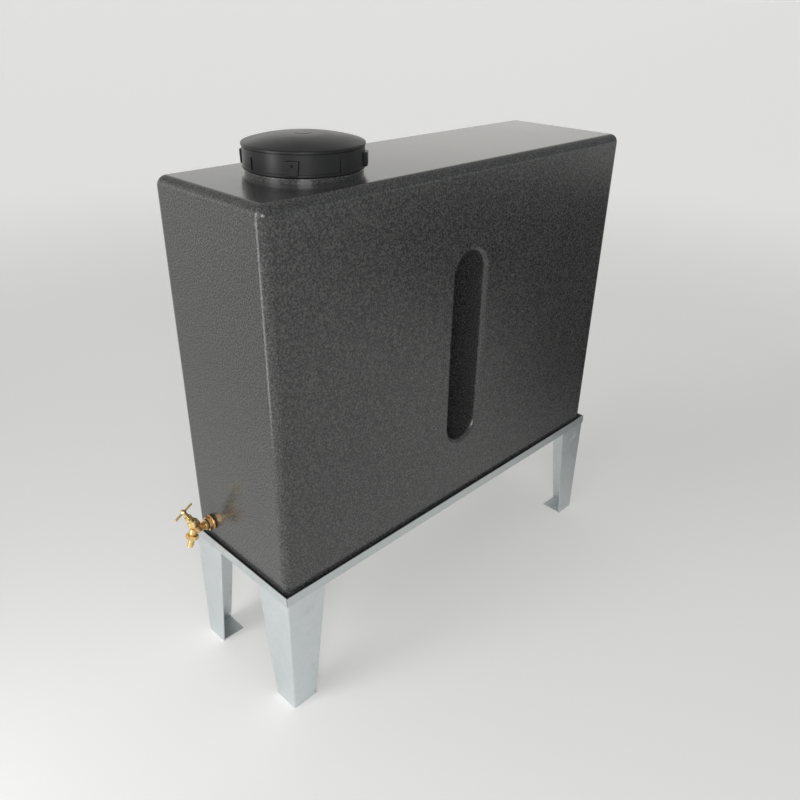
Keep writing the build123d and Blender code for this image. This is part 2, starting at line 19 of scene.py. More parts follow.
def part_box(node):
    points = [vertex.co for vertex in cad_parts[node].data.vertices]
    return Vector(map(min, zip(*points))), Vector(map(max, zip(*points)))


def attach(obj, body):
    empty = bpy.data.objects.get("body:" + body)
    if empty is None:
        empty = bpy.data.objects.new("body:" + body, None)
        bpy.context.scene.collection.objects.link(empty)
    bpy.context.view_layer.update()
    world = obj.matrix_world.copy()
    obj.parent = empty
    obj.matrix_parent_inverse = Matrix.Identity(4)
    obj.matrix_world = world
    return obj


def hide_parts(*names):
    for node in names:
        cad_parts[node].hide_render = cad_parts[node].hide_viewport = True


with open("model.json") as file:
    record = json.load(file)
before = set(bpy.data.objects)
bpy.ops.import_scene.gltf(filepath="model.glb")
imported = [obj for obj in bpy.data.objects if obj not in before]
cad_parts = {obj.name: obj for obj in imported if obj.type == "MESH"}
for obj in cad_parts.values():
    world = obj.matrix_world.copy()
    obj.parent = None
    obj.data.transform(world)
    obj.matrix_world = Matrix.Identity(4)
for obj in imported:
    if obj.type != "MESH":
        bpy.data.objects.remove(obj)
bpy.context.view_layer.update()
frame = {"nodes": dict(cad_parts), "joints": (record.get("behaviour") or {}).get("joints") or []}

MM = 0.001
STAND_BODY = "tank_and_stand"

# %% [markdown]
# ## The camera
#
# The camera looks down at the tank from the front left, a little above the lid. It is set up
# first, because every later choice of gloss and grain is judged from here. A camera's own axes
# are its right, its up and its backward direction, so two cross products and a small roll turn
# a heading and a dip into its matrix.

# %% Camera
HEADING = radians(44.192)
DIP = radians(28.361)
ROLL = radians(0.985)
LENS = 33.91
CAMERA_FROM_TANK = Vector((-1.3082, -1.2168, 1.5137))

shell_low, shell_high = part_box("tank_shell")
tank_middle = (shell_low + shell_high) / 2


def studio_camera():
    ahead = Vector((cos(HEADING) * cos(DIP), sin(HEADING) * cos(DIP), -sin(DIP)))
    right = ahead.cross(Vector((0, 0, 1))).normalized()
    up = right.cross(ahead)
    rolled_right = right * cos(ROLL) + up * sin(ROLL)
    rolled_up = up * cos(ROLL) - right * sin(ROLL)
    data = bpy.data.cameras.new("studio_camera")
    data.lens = LENS
    data.sensor_width = 36
    camera = bpy.data.objects.new("studio_camera", data)
    bpy.context.scene.collection.objects.link(camera)
    place = Vector((tank_middle.x, tank_middle.y, 0)) + CAMERA_FROM_TANK
    axes = Matrix((rolled_right, rolled_up, -ahead)).transposed()
    camera.matrix_world = Matrix.Translation(place) @ axes.to_4x4()
    bpy.context.scene.camera = camera
    return camera


camera = studio_camera()
print("camera at", [round(v, 3) for v in camera.location])

# %% [markdown]
# ## A few tools for working as by hand
#
# Every operator in Blender acts on whatever is selected, so each helper first deselects
# everything, then picks what it needs by place. `lathe` is the one used most: it pulls a chain
# of points out of a single vertex and spins it, as a wood turner thinks of a bowl. `rounded`
# turns the corners of such an outline into small arcs, because no real edge is knife sharp.

# %% Selecting, editing and settling


def deselect_all():
    if bpy.context.object and bpy.context.object.mode != "OBJECT":
        bpy.ops.object.mode_set(mode="OBJECT")
    bpy.ops.object.select_all(action="DESELECT")


def work_on(piece):
    deselect_all()
    piece.select_set(True)
    bpy.context.view_layer.objects.active = piece


@contextmanager
def editing(piece):
    """Edit mode for vertices with nothing selected, left again when the block ends."""
    work_on(piece)
    bpy.ops.object.mode_set(mode="EDIT")
    bpy.ops.mesh.select_mode(type="VERT")
    bpy.ops.mesh.select_all(action="DESELECT")
    yield
    bpy.ops.object.mode_set(mode="OBJECT")


def pick(piece, kind, wanted):
    """Selects the vertices, edges or faces that wanted() says yes to, and counts them."""
    bpy.ops.mesh.select_mode(type={"verts": "VERT", "edges": "EDGE", "faces": "FACE"}[kind])
    bpy.ops.mesh.select_all(action="DESELECT")
    mesh = bmesh.from_edit_mesh(piece.data)
    chosen = [element for element in getattr(mesh, kind) if wanted(element)]
    for element in chosen:
        element.select_set(True)
    mesh.select_flush_mode()
    bmesh.update_edit_mesh(piece.data)
    return len(chosen)


def pick_all():
    bpy.ops.mesh.select_all(action="SELECT")


def bevel_edges(piece, wanted, width, segments):
    """Rounds the edges that wanted() says yes to."""
    pick(piece, "edges", wanted)
    bpy.ops.mesh.bevel(offset=width, segments=segments, affect="EDGES")


def extrude_by(*way):
    bpy.ops.mesh.extrude_region_move(TRANSFORM_OT_translate={"value": way})


def stretch_from(centre, *factors):
    bpy.ops.transform.resize(value=factors, center_override=centre)


def modify(piece, kind, **settings):
    """Adds a modifier, sets it and applies it."""
    work_on(piece)
    modifier = piece.modifiers.new(kind.lower(), kind)
    for name, value in settings.items():
        setattr(modifier, name, value)
    bpy.ops.object.modifier_apply(modifier=modifier.name)


def settle(piece, name):
    """Puts the object's place, turn and scale into its mesh, and names it."""
    work_on(piece)
    bpy.ops.object.transform_apply(location=True, rotation=True, scale=True)
    piece.name = name
    piece.data.name = name
    return piece


def moved(piece, matrix):
    piece.matrix_world = matrix
    return settle(piece, piece.name)


def turned(degrees):
    return Matrix.Rotation(radians(degrees), 4, "Z")


def face_outwards(piece):
    with editing(piece):
        pick_all()
        bpy.ops.mesh.remove_doubles(threshold=1e-6)
        bpy.ops.mesh.normals_make_consistent(inside=False)


def cut(piece, tool, operation="DIFFERENCE"):
    modify(piece, "BOOLEAN", object=tool, operation=operation, solver="EXACT")
    bpy.data.objects.remove(tool)


def join_solids(piece, *others):
    for other in others:
        cut(piece, other, "UNION")
    return piece


def smooth(piece, angle=32):
    work_on(piece)
    bpy.ops.object.shade_smooth_by_angle(angle=radians(angle))
    modify(piece, "WEIGHTED_NORMAL", keep_sharp=True)


def soften_edges(piece, width, segments=2, angle=35):
    """A small bevel on every sharp edge, which is what catches the light."""
    modify(
        piece, "BEVEL", width=width, segments=segments, limit_method="ANGLE",
        angle_limit=radians(angle), use_clamp_overlap=True, harden_normals=False,
    )


# %% Blocks, rods and turned shapes


def block(name, low, high):
    deselect_all()
    low, high = Vector(low), Vector(high)
    bpy.ops.mesh.primitive_cube_add(size=1, location=(low + high) / 2)
    piece = bpy.context.object
    piece.scale = high - low
    return settle(piece, name)


def rod(name, radius, low, high, sides=48):
    """A round bar along Z."""
    deselect_all()
    bpy.ops.mesh.primitive_cylinder_add(
        vertices=sides, radius=radius, depth=high - low, location=(0, 0, (low + high) / 2)
    )
    return settle(bpy.context.object, name)


def drill(piece, radius, low, high, sides=48, line=None):
    """Cuts a round hole along Z, or along another line of the real object."""
    bit = rod("drill", radius, low, high, sides)
    cut(piece, moved(bit, line) if line else bit)


def arc(centre, radius, start, end, steps):
    """Points on a circle from one angle to another, in degrees."""
    angles = [radians(start + (end - start) * i / steps) for i in range(steps + 1)]
    return [(centre[0] + radius * cos(a), centre[1] + radius * sin(a)) for a in angles]


def rounded(corners, steps=4):
    """An outline of (radius, height, fillet) corners with each fillet drawn as an arc."""
    outline = []
    for i, (x, y, fillet) in enumerate(corners):
        if fillet == 0 or i in (0, len(corners) - 1):
            outline.append((x, y))
            continue
        here = Vector((x, y))
        back = Vector(corners[i - 1][:2]) - here
        forth = Vector(corners[i + 1][:2]) - here
        half_turn = back.angle(forth) / 2
        reach = min(fillet / tan(half_turn), 0.49 * back.length, 0.49 * forth.length)
        start = here + back.normalized() * reach
        end = here + forth.normalized() * reach
        for k in range(steps + 1):
            t = k / steps
            outline.append(tuple(start * (1 - t) ** 2 + here * 2 * t * (1 - t) + end * t * t))
    return outline


def lathe(name, outline, steps=64):
    """Pulls the outline out of one vertex, point by point, and spins it about Z."""
    deselect_all()
    bpy.ops.mesh.primitive_plane_add(size=0.01)
    piece = bpy.context.object
    with editing(piece):
        pick_all()
        bpy.ops.mesh.merge(type="CENTER")
        bpy.ops.transform.translate(value=(outline[0][0], 0, outline[0][1]))
        for (r0, z0), (r1, z1) in zip(outline, outline[1:]):
            extrude_by(r1 - r0, 0, z1 - z0)
        pick_all()
        bpy.ops.mesh.spin(steps=steps, angle=2 * pi, center=(0, 0, 0), axis=(0, 0, 1))
    face_outwards(piece)
    return settle(piece, name)


def ring(name, outer, inner, low, high, edge=0.0, steps=64):
    """A washer or collar with its four corners slightly rounded."""
    middle = (low + high) / 2
    corners = [
        (outer, middle, 0), (outer, high, edge), (inner, high, edge),
        (inner, low, edge), (outer, low, edge), (outer, middle, 0),
    ]
    return lathe(name, rounded(corners, 3), steps)


def hexagon(name, across_corners, low, high, chamfer=1 * MM, turn=0.0):
    """A nut blank: a six-sided bar whose corners are turned off at both ends."""
    first_corner = 30
    piece = moved(rod(name, across_corners / 2, low, high, 6), turned(first_corner + turn))
    inside = across_corners / 2 - 1.7 * chamfer
    outside = across_corners / 2 + 1.7 * chamfer
    blank = lathe("turned_blank", [
        (0, low), (inside, low), (outside, low + 2 * chamfer),
        (outside, high - 2 * chamfer), (inside, high), (0, high),
    ], 50)
    cut(piece, blank, "INTERSECT")
    return piece


def aimed(origin, axis, across):
    """The matrix that stands a piece modelled along Z on an axis of the real object."""
    z = Vector(axis).normalized()
    x = (Vector(across) - Vector(across).dot(z) * z).normalized()
    y = z.cross(x)
    return Matrix.Translation(origin) @ Matrix((x, y, z)).transposed().to_4x4()


# %% [markdown]
# ## Writing shaders as sums
#
# A procedural material is arithmetic on patterns. `Value` wraps one output socket, and its
# operators add Math nodes, so a mask can be written as `1 - grain * 0.5`. `Shader.node` makes
# every other node: its type, its settings, and what goes into its sockets. All the patterns read
# Object coordinates, which are metres on the real thing.

# %% Shader tools


class Value:
    """One output socket, with arithmetic."""

    def __init__(self, shader, socket):
        self.shader = shader
        self.socket = socket

    def math(self, operation, first, second):
        return self.shader.node("Math", {"operation": operation}, {0: first, 1: second})

    def __add__(self, other):
        return self.math("ADD", self, other)

    __radd__ = __add__

    def __mul__(self, other):
        return self.math("MULTIPLY", self, other)

    __rmul__ = __mul__

    def __sub__(self, other):
        return self.math("SUBTRACT", self, other)

    def __rsub__(self, other):
        return self.math("SUBTRACT", other, self)

    def above(self, low, high):
        """0 below low, 1 above high, and a smooth step between."""
        settings = {"interpolation_type": "SMOOTHSTEP"}
        return self.shader.node("MapRange", settings, {0: self, 1: low, 2: high})


class Shader:
    """A material under construction, or the world when kind says so."""

    def __init__(self, name, kind="materials", place="Object"):
        self.block = getattr(bpy.data, kind).new(name)
        self.block.use_nodes = True
        self.tree = self.block.node_tree
        self.tree.nodes.clear()
        self.place = self.node("TexCoord", output=place)

    def node(self, kind, settings=None, inputs=None, output=0):
        made = self.tree.nodes.new("ShaderNode" + kind)
        for name, value in (settings or {}).items():
            if name == "stops":
                self.set_stops(made.color_ramp, value)
            else:
                setattr(made, name, value)
        for name, value in (inputs or {}).items():
            if isinstance(value, Value):
                self.tree.links.new(value.socket, made.inputs[name])
            else:
                made.inputs[name].default_value = value
        return Value(self, made.outputs[output])

    @staticmethod
    def set_stops(ramp, stops):
        while len(ramp.elements) < len(stops):
            ramp.elements.new(1.0)
        for element, (position, colour) in zip(ramp.elements, stops):
            element.position = position
            element.color = (*colour, 1)

    def noise(self, scale, detail=2.0, roughness=0.5, stretch=None):
        place = self.place
        if stretch:
            place = self.node("Mapping", None, {"Vector": place, "Scale": stretch}, "Vector")
        sockets = {"Vector": place, "Scale": scale, "Detail": detail, "Roughness": roughness}
        return self.node("TexNoise", None, sockets)

    def mix(self, factor, first, second):
        """Mixes two colours."""
        return self.node("Mix", {"data_type": "RGBA"}, {0: factor, 6: first, 7: second}, 2)

    def bump(self, height, strength, distance, under=None):
        sockets = {"Height": height, "Strength": strength, "Distance": distance}
        if under:
            sockets["Normal"] = under
        return self.node("Bump", None, sockets, "Normal")

    def finish(self, **sockets):
        """The principled shader, with names like Base_Color, wired to the output."""
        inputs = {name.replace("_", " "): value for name, value in sockets.items()}
        surface = self.node("BsdfPrincipled", None, inputs, "BSDF")
        return self.output("OutputMaterial", surface)

    def output(self, kind, surface):
        end = self.tree.nodes.new("ShaderNode" + kind)
        self.tree.links.new(surface.socket, end.inputs["Surface"])
        return self.block


def rgb(red, green, blue):
    return (red, green, blue, 1)


# %% [markdown]
# ## The studio
#
# Plastic and zinc show mostly what they reflect, so the room matters. Its pale walls stand
# behind and to the left, the ceiling is a little darker, and to the right of the camera the room
# is dim. That is the world's colour by direction. The floor is one very large pale sheet, so that
# its far edge never shows, with a little glow of its own for the light that a white room throws
# back under an object. Two dark cloths to the right of the tank are seen only by reflections,
# and take the shine off that end of the long face. All of this is stage, not the object.

# %% World and floor


def studio_world():
    s = Shader("studio_world", "worlds", "Generated")
    height = s.node("SeparateXYZ", None, {0: s.place}, "Z")
    toward_wall = s.node(
        "VectorMath", {"operation": "DOT_PRODUCT"}, {0: s.place, 1: (-0.70, 0.71, 0.0)}, "Value"
    )
    walls = s.mix(toward_wall.above(-0.95, -0.10), rgb(0.30, 0.32, 0.36), rgb(1.24, 1.23, 1.19))
    walls = s.mix(height.above(0.0, 0.09), rgb(0.76, 0.76, 0.75), walls)
    colour = s.mix(height.above(0.12, 0.50), walls, rgb(0.37, 0.37, 0.365))
    light = s.node("Background", None, {"Color": colour, "Strength": 1.0}, "Background")
    bpy.context.scene.world = s.output("OutputWorld", light)


def studio_floor():
    deselect_all()
    bpy.ops.mesh.primitive_plane_add(size=2000, location=(0, 0, 0))
    floor = settle(bpy.context.object, "studio_floor")
    s = Shader("studio_floor")
    tone = s.noise(0.8, 2.0, 0.5)
    pale = s.mix(tone, rgb(0.63, 0.63, 0.625), rgb(0.67, 0.67, 0.665))
    # Painted light: the floor is painted paler from 2.2 m out to 6 m, so the far floor reads as
    # more brightly lit.
    distance_for_painted_light = s.node("VectorMath", {"operation": "LENGTH"}, {0: s.place}, "Value")
    colour = s.mix(distance_for_painted_light.above(2.2, 6.0), pale, rgb(0.92, 0.92, 0.91))
    glow = {"Emission_Color": rgb(1.0, 0.995, 0.98), "Emission_Strength": 0.22}
    floor.data.materials.append(s.finish(Base_Color=colour, Roughness=0.6, **glow))


def dark_cloth(name, place, half_length, half_width, turn):
    """A soft-edged dark cloth just above the floor that only reflections see."""
    deselect_all()
    bpy.ops.mesh.primitive_plane_add(size=2, location=place, rotation=(0, 0, radians(turn)))
    cloth = bpy.context.object
    cloth.name = name
    cloth.scale = (half_length, half_width, 1)
    for ray in ("camera", "diffuse", "shadow", "transmission"):
        setattr(cloth, "visible_" + ray, False)
    s = Shader(name)
    middle = s.node("VectorMath", {"operation": "LENGTH"}, {0: s.place}, "Value")
    dark = s.node("BsdfDiffuse", None, {"Color": rgb(0.03, 0.03, 0.032)}, "BSDF")
    clear = s.node("BsdfTransparent", None, None, "BSDF")
    soft = s.node("MixShader", None, {0: middle.above(0.35, 1.0), 1: dark, 2: clear}, "Shader")
    cloth.data.materials.append(s.output("OutputMaterial", soft))


bpy.context.scene.view_settings.view_transform = "Standard"
studio_world()
studio_floor()
dark_cloth("near_cloth", (2.35, -0.95, 2 * MM), 2.3, 0.9, -27)
dark_cloth("far_cloth", (3.6, -2.4, 4 * MM), 2.9, 2.2, -20)

# %% [markdown]
# A broad soft key from the left adds shape. It is a sun lamp with a wide disc, so the floor is
# evenly lit however far it runs. A tall narrow strip stands close to the left end: rounded
# upright edges mirror it as one thin bright line. A panel nearer the camera makes the tank's
# near side a little brighter than its far side. None of the lamps is seen by the camera itself.
# The colour transform is plain, so pale stays pale.

# %% Lamps


def studio_lamp(name, kind, strength, place, target=(0, 0, 0.7)):
    data = bpy.data.lights.new(name, kind)
    data.energy = strength
    lamp = bpy.data.objects.new(name, data)
    bpy.context.scene.collection.objects.link(lamp)
    lamp.location = place
    lamp.rotation_euler = (Vector(target) - Vector(place)).to_track_quat("-Z", "Y").to_euler()
    lamp.visible_camera = False
    return lamp


def area_lamp(name, strength, place, target, width, height):
    lamp = studio_lamp(name, "AREA", strength, place, target)
    lamp.data.shape = "RECTANGLE"
    lamp.data.size = width
    lamp.data.size_y = height


key = studio_lamp("key", "SUN", 0.8, (-3.0, 0.4, 2.2))
key.data.angle = radians(50)
area_lamp("strip", 9, (-1.72, 0.16, 0.95), (-0.5, -0.15, 0.9), width=0.42, height=1.8)
area_lamp("left_panel", 32, (-2.1, -2.2, 1.8), (-0.2, 0, 0.7), width=1.2, height=1.2)

# %% [markdown]
# ## Finishes
#
# The tank is rotomoulded from black and grey polyethylene powder that never mixes, so its skin is
# a fine granite: dark ground, grey grains, a few pale ones. Two noises of different grain add up
# to that, and where both run high a pale fleck shows. The skin copies the mould, so it has a
# slight orange peel and a wide, lazy waviness that only the highlights show.

# %% Granite polyethylene


def granite_plastic():
    s = Shader("granite_polyethylene")
    grain = s.noise(300, 2.0, 0.55)
    fleck = s.noise(520, 1.0, 0.5)
    cloud = s.noise(3.2, 3.0, 0.55)
    ground = s.node("ValToRGB", {"stops": [
        (0.36, (0.018, 0.0185, 0.019)),
        (0.50, (0.036, 0.037, 0.037)),
        (0.64, (0.074, 0.0755, 0.072)),
    ]}, {"Fac": grain + (fleck - 0.5) * 0.30 + (cloud - 0.5) * 0.04})
    pale = fleck.above(0.64, 0.74) * grain.above(0.45, 0.6)
    colour = s.mix(pale * 0.35, ground, rgb(0.30, 0.30, 0.29))
    roughness = 0.21 + (cloud - 0.5) * 0.06
    peel = s.bump(grain, 0.012, 0.25 * MM)
    wavy = s.bump(s.noise(2.6, 1.0, 0.4), 0.20, 3.0 * MM, peel)
    return s.finish(Base_Color=colour, Roughness=roughness, Normal=wavy, IOR=1.52)


GRANITE = granite_plastic()

# %% [markdown]
# The lid is injection moulded black polypropylene: an even black with a satin skin, a little
# dusty in soft patches, with a very fine texture from the mould.

# %% Black lid and rubber


def black_moulding():
    s = Shader("black_lid")
    dust = s.noise(9, 4.0, 0.6).above(0.42, 0.72)
    fine = s.noise(900, 2.0, 0.6)
    colour = s.mix(dust * 0.35, rgb(0.0045, 0.0048, 0.0055), rgb(0.012, 0.012, 0.0117))
    roughness = 0.30 + dust * 0.10 + fine * 0.06
    grain = s.bump(fine, 0.12, 0.12 * MM)
    return s.finish(Base_Color=colour, Roughness=roughness, Normal=grain, IOR=1.42)


def black_rubber():
    s = Shader("black_rubber")
    bloom = s.noise(160, 4.0, 0.6)
    colour = s.mix(bloom.above(0.4, 0.8) * 0.5, rgb(0.010, 0.010, 0.010), rgb(0.034, 0.033, 0.031))
    return s.finish(
        Base_Color=colour, Roughness=0.62 + bloom * 0.2,
        Normal=s.bump(s.noise(1500, 2.0), 0.15, 0.1 * MM),
    )


def red_fibre():
    s = Shader("fibre_washer")
    fibre = s.noise(700, 4.0, 0.7, (1, 1, 4))
    colour = s.mix(fibre, rgb(0.19, 0.035, 0.02), rgb(0.34, 0.09, 0.05))
    return s.finish(Base_Color=colour, Roughness=0.75, Normal=s.bump(fibre, 0.3, 0.1 * MM))


BLACK_LID = black_moulding()
RUBBER = black_rubber()
FIBRE = red_fibre()

# %% [markdown]
# Hot-dip zinc freezes in crystals called spangle. Each crystal is a Voronoi cell that is a
# shade lighter or darker and a touch glossier or duller than its neighbour. Handling leaves long
# faint streaks, and the zinc dulls to a pale blue grey.

# %% Galvanised steel


def galvanised_steel(name, shade):
    """The zinc finish. Shade scales the whole colour as painted light: below 1 paints shade, above
    1 paints light.
    """
    s = Shader(name)
    spangle = s.node(
        "TexVoronoi", {"feature": "SMOOTH_F1"},
        {"Vector": s.place, "Scale": 95.0, "Smoothness": 0.35}, "Color",
    )
    crystal = s.node("SeparateColor", None, {0: spangle}, "Red")
    streak = s.noise(7, 5.0, 0.65, (1, 1, 0.25))
    stain = s.noise(16, 5.0, 0.6)
    tone = crystal * 0.35 + streak * 0.65
    dim = rgb(0.56 * shade, 0.605 * shade, 0.61 * shade)
    bright = rgb(0.68 * shade, 0.72 * shade, 0.72 * shade)
    colour = s.mix(tone, dim, bright)
    dull = stain.above(0.56, 0.78)
    colour = s.mix(dull * 0.5, colour, rgb(0.46, 0.475, 0.47))
    roughness = 0.34 + crystal * 0.10 + dull * 0.16 + (streak - 0.5) * 0.12
    ripple = s.bump(s.noise(38, 3.0, 0.5), 0.06, 0.6 * MM)
    relief = s.bump(crystal, 0.06, 0.15 * MM, ripple)
    return s.finish(
        Base_Color=colour, Metallic=0.92 - dull * 0.25, Roughness=roughness, Normal=relief
    )


# Painted light: one zinc in two copies. The darker one serves the angle bars, bearers, welds and
# grub screw, and the lighter one serves the sheet legs.
PAINTED_SHADE_STEEL = galvanised_steel("angle_steel", 0.90)
PAINTED_LIGHT_STEEL = galvanised_steel("sheet_steel", 1.02)

# %% [markdown]
# The tap is brass: turned faces are bright, castings are a little rougher and redder where the
# foundry skin is left. One function makes both, and tarnish gathers in soft patches.

# %% Brass


def brass(name, light, dark, roughness, casting):
    s = Shader(name)
    patch = s.noise(70, 4.0, 0.6)
    tarnish = patch.above(0.50, 0.74)
    colour = s.mix(tarnish * 0.75, rgb(*light), rgb(*dark))
    turning = s.noise(260, 2.0, 0.5, (1, 1, 6))
    skin = s.noise(900, 3.0, 0.6)
    shine = roughness + tarnish * 0.16 + turning * 0.06
    relief = s.bump(skin, casting, 0.25 * MM)
    return s.finish(Base_Color=colour, Metallic=1.0, Roughness=shine, Normal=relief)


YELLOW_BRASS = brass("yellow_brass", (0.84, 0.64, 0.30), (0.58, 0.38, 0.16), 0.23, 0.05)
CAST_BRASS = brass("cast_brass", (0.79, 0.55, 0.24), (0.52, 0.31, 0.12), 0.30, 0.20)
RED_BRASS = brass("red_brass", (0.79, 0.49, 0.22), (0.50, 0.25, 0.09), 0.26, 0.12)


def dress(piece, material):
    piece.data.materials.clear()
    piece.data.materials.append(material)


def hand_over(piece, material, slot, *nodes, body=STAND_BODY):
    """Dresses a finished piece, says which body it moves with and which nodes it stands for."""
    dress(piece, material)
    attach(piece, body)
    if nodes:
        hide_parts(*nodes)
    print(piece.name, len(piece.data.polygons), "faces")


# %% [markdown]
# ## The tank
#
# The tank is a hollow moulding with walls of about six millimetres. Its sides are flat and its
# upright and top edges are rounded. In the middle of each long face a deep upright slot runs in
# until the two nearly meet, which ties the faces together against the water's push. We start
# from a block, bevel it, cut the slots with a stretched and tapered cylinder, and roll the rim
# of each slot over. A second, smaller copy of the same shape then hollows it out.

# %% Tank measures
NECK_HEIGHT = 46 * MM
WALL = 6 * MM
TANK_EDGE = 21 * MM
TANK_FOOT_EDGE = 12 * MM
SLOT_X = -8 * MM
SLOT_WIDTH = 104 * MM
SLOT_HEIGHT = 492 * MM
SLOT_CENTRE_Z = 756 * MM
SLOT_RIM = 12 * MM
SLOT_WEB = 12 * MM
SLOT_DRAFT = radians(1.5)
SLOT_FLOOR_EDGE = 14 * MM

tank_low = shell_low
tank_high = Vector((shell_high.x, shell_high.y, shell_high.z - NECK_HEIGHT))
half_width = (tank_high.y - tank_low.y) / 2
slot_middle = tank_middle.x + SLOT_X


def near(a, b, slack=1e-5):
    return abs(a - b) < slack


def all_at(edge, axis, value):
    return all(near(v.co[axis], value) for v in edge.verts)


def upright(edge):
    a, b = (v.co for v in edge.verts)
    return abs(a.z - b.z) > 0.99 * (a - b).length


def rounded_block(name, low, high, edge, foot_edge, segments):
    piece = block(name, low, high)
    with editing(piece):
        bevel_edges(piece, lambda e: upright(e) or all_at(e, 2, high.z), edge, segments)
        bevel_edges(piece, lambda e: all_at(e, 2, low.z), foot_edge, segments // 2)
    return piece


def slot_tool(side, grow):
    """The tapered stadium that fills one slot, grown by the wall for the inside."""
    sides = 64
    radius = SLOT_WIDTH / 2 + grow
    outer = side * (half_width + 5 * MM)
    inner = side * (SLOT_WEB / 2 - grow)
    deselect_all()
    bpy.ops.mesh.primitive_cylinder_add(
        vertices=sides, radius=radius, depth=abs(outer - inner),
        location=(slot_middle, (outer + inner) / 2, SLOT_CENTRE_Z),
        rotation=(pi / 2, pi / sides, 0),
    )
    tool = settle(bpy.context.object, "slot_tool")
    straight = (SLOT_HEIGHT - SLOT_WIDTH) / 2
    narrow = abs(outer - inner) * tan(SLOT_DRAFT)
    with editing(tool):
        pick(tool, "verts", lambda v: v.co.z > SLOT_CENTRE_Z)
        bpy.ops.transform.translate(value=(0, 0, straight))
        pick(tool, "verts", lambda v: v.co.z < SLOT_CENTRE_Z)
        bpy.ops.transform.translate(value=(0, 0, -straight))
        pick(tool, "verts", lambda v: near(v.co.y, inner))
        tall = radius + straight
        floor_centre = (slot_middle, inner, SLOT_CENTRE_Z)
        stretch_from(floor_centre, (radius - narrow) / radius, 1, (tall - narrow) / tall)
        if side * inner > 0:
            bevel_edges(tool, lambda e: all_at(e, 1, inner), SLOT_FLOOR_EDGE, 5)
    return tool


def roll_slot_rims(piece):
    """Bevels the edge loop round each slot's mouth."""

    def on_rim(edge):
        mouth = all(near(abs(v.co.y), half_width, 1e-4) for v in edge.verts)
        close = all(abs(v.co.x - slot_middle) < SLOT_WIDTH for v in edge.verts)
        return mouth and close and edge.calc_face_angle(0) > 0.6

    with editing(piece):
        count = pick(piece, "edges", on_rim)
        bpy.ops.mesh.bevel(offset=SLOT_RIM, segments=7, affect="EDGES", clamp_overlap=False)
    print("slot rim edges", count)


# %% [markdown]
# The neck is part of the same moulding. It starts in a thick collar, which the lid stops just
# short of, and carries a coarse thread. The thread is one ridge wound twice round with the Screw
# modifier, and it is joined to the turned neck as a solid.

# %% Neck
lid_low, lid_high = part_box("lid")
NECK_CENTRE = Vector(((lid_low.x + lid_high.x) / 2, (lid_low.y + lid_high.y) / 2, tank_high.z))
NECK_OUTER = 111 * MM
NECK_BORE = 103 * MM
NECK_BEAD = 118.5 * MM
NECK_BEAD_HEIGHT = 11 * MM
NECK_THREAD = 113.2 * MM
THREAD_PITCH = 12 * MM
THREAD_TURNS = 2


def helix_ridge(name, root, crest, start, base, tip):
    """A ridge of trapezium section wound about Z, from its base width to its tip."""
    deselect_all()
    middle = (root + crest) / 2
    bpy.ops.mesh.primitive_plane_add(size=1, location=(middle, 0, start), rotation=(pi / 2, 0, 0))
    ridge = bpy.context.object
    ridge.scale = (abs(crest - root), base, 1)
    settle(ridge, name)
    with editing(ridge):
        pick(ridge, "verts", lambda v: near(v.co.x, crest))
        stretch_from((crest, 0, start), 1, 1, tip / base)
        pick_all()
        bpy.ops.mesh.delete(type="ONLY_FACE")
    modify(
        ridge, "SCREW", steps=96, render_steps=96, iterations=THREAD_TURNS,
        screw_offset=THREAD_PITCH,
    )
    with editing(ridge):
        bpy.ops.mesh.select_mode(type="EDGE")
        bpy.ops.mesh.select_non_manifold(extend=False)
        bpy.ops.mesh.fill_holes(sides=4)
    face_outwards(ridge)
    return ridge


def neck_solid():
    top = NECK_HEIGHT
    root = -20 * MM
    corners = [
        (0, root, 0), (NECK_BEAD, root, 0), (NECK_BEAD, NECK_BEAD_HEIGHT - 0.8 * MM, 2.4 * MM),
        (NECK_OUTER, NECK_BEAD_HEIGHT + 0.6 * MM, 1.5 * MM),
        (NECK_OUTER, top, 1.6 * MM), (0, top, 0),
    ]
    neck = lathe("neck", rounded(corners, 5), 128)
    join_solids(neck, helix_ridge(
        "thread", NECK_OUTER - 1 * MM, NECK_THREAD, 18 * MM, 4.2 * MM, 1.6 * MM
    ))
    return moved(neck, Matrix.Translation(NECK_CENTRE))


# %% [markdown]
# The tap's port is a plain round hole low in the end wall. Its place is read from the rubber
# washer that seals it.

# %% Build the tank
washer_low, washer_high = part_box("outer_wall_washer")
port = (washer_low + washer_high) / 2
WALL_FRAME = aimed((washer_high.x, port.y, port.z), (-1, 0, 0), (0, 1, 0))
PORT_RADIUS = 13.4 * MM


def tank_piece():
    tank = rounded_block("tank_moulding", tank_low, tank_high, TANK_EDGE, TANK_FOOT_EDGE, 10)
    for side in (-1, 1):
        cut(tank, slot_tool(side, 0))
    roll_slot_rims(tank)
    join_solids(tank, neck_solid())
    inset = Vector((WALL, WALL, WALL))
    hollow = rounded_block(
        "hollow", tank_low + inset, tank_high - inset, TANK_EDGE - WALL, TANK_FOOT_EDGE - WALL, 6
    )
    for side in (-1, 1):
        cut(hollow, slot_tool(side, WALL))
    bore = rod("bore", NECK_BORE, -3 * WALL, NECK_HEIGHT + WALL, 128)
    join_solids(hollow, moved(bore, Matrix.Translation(NECK_CENTRE)))
    cut(tank, hollow)
    drill(tank, PORT_RADIUS, -2 * WALL, WALL, line=WALL_FRAME)
    smooth(tank, 38)
    hand_over(tank, GRANITE, "granite_polyethylene", "tank_shell")


tank_piece()

# %% [markdown]
# ## The lid
#
# The lid is one black moulding. A turned cap gives the skirt with its wider foot band, the lip
# under the dome, and the shallow crown with its flat centre disc. Four bosses for a locking
# wire stand round the skirt, narrower towards the foot and drilled, and between them four thin
# grip ribs. Each is modelled once and copied round. Inside, a ridge screws on to the neck.

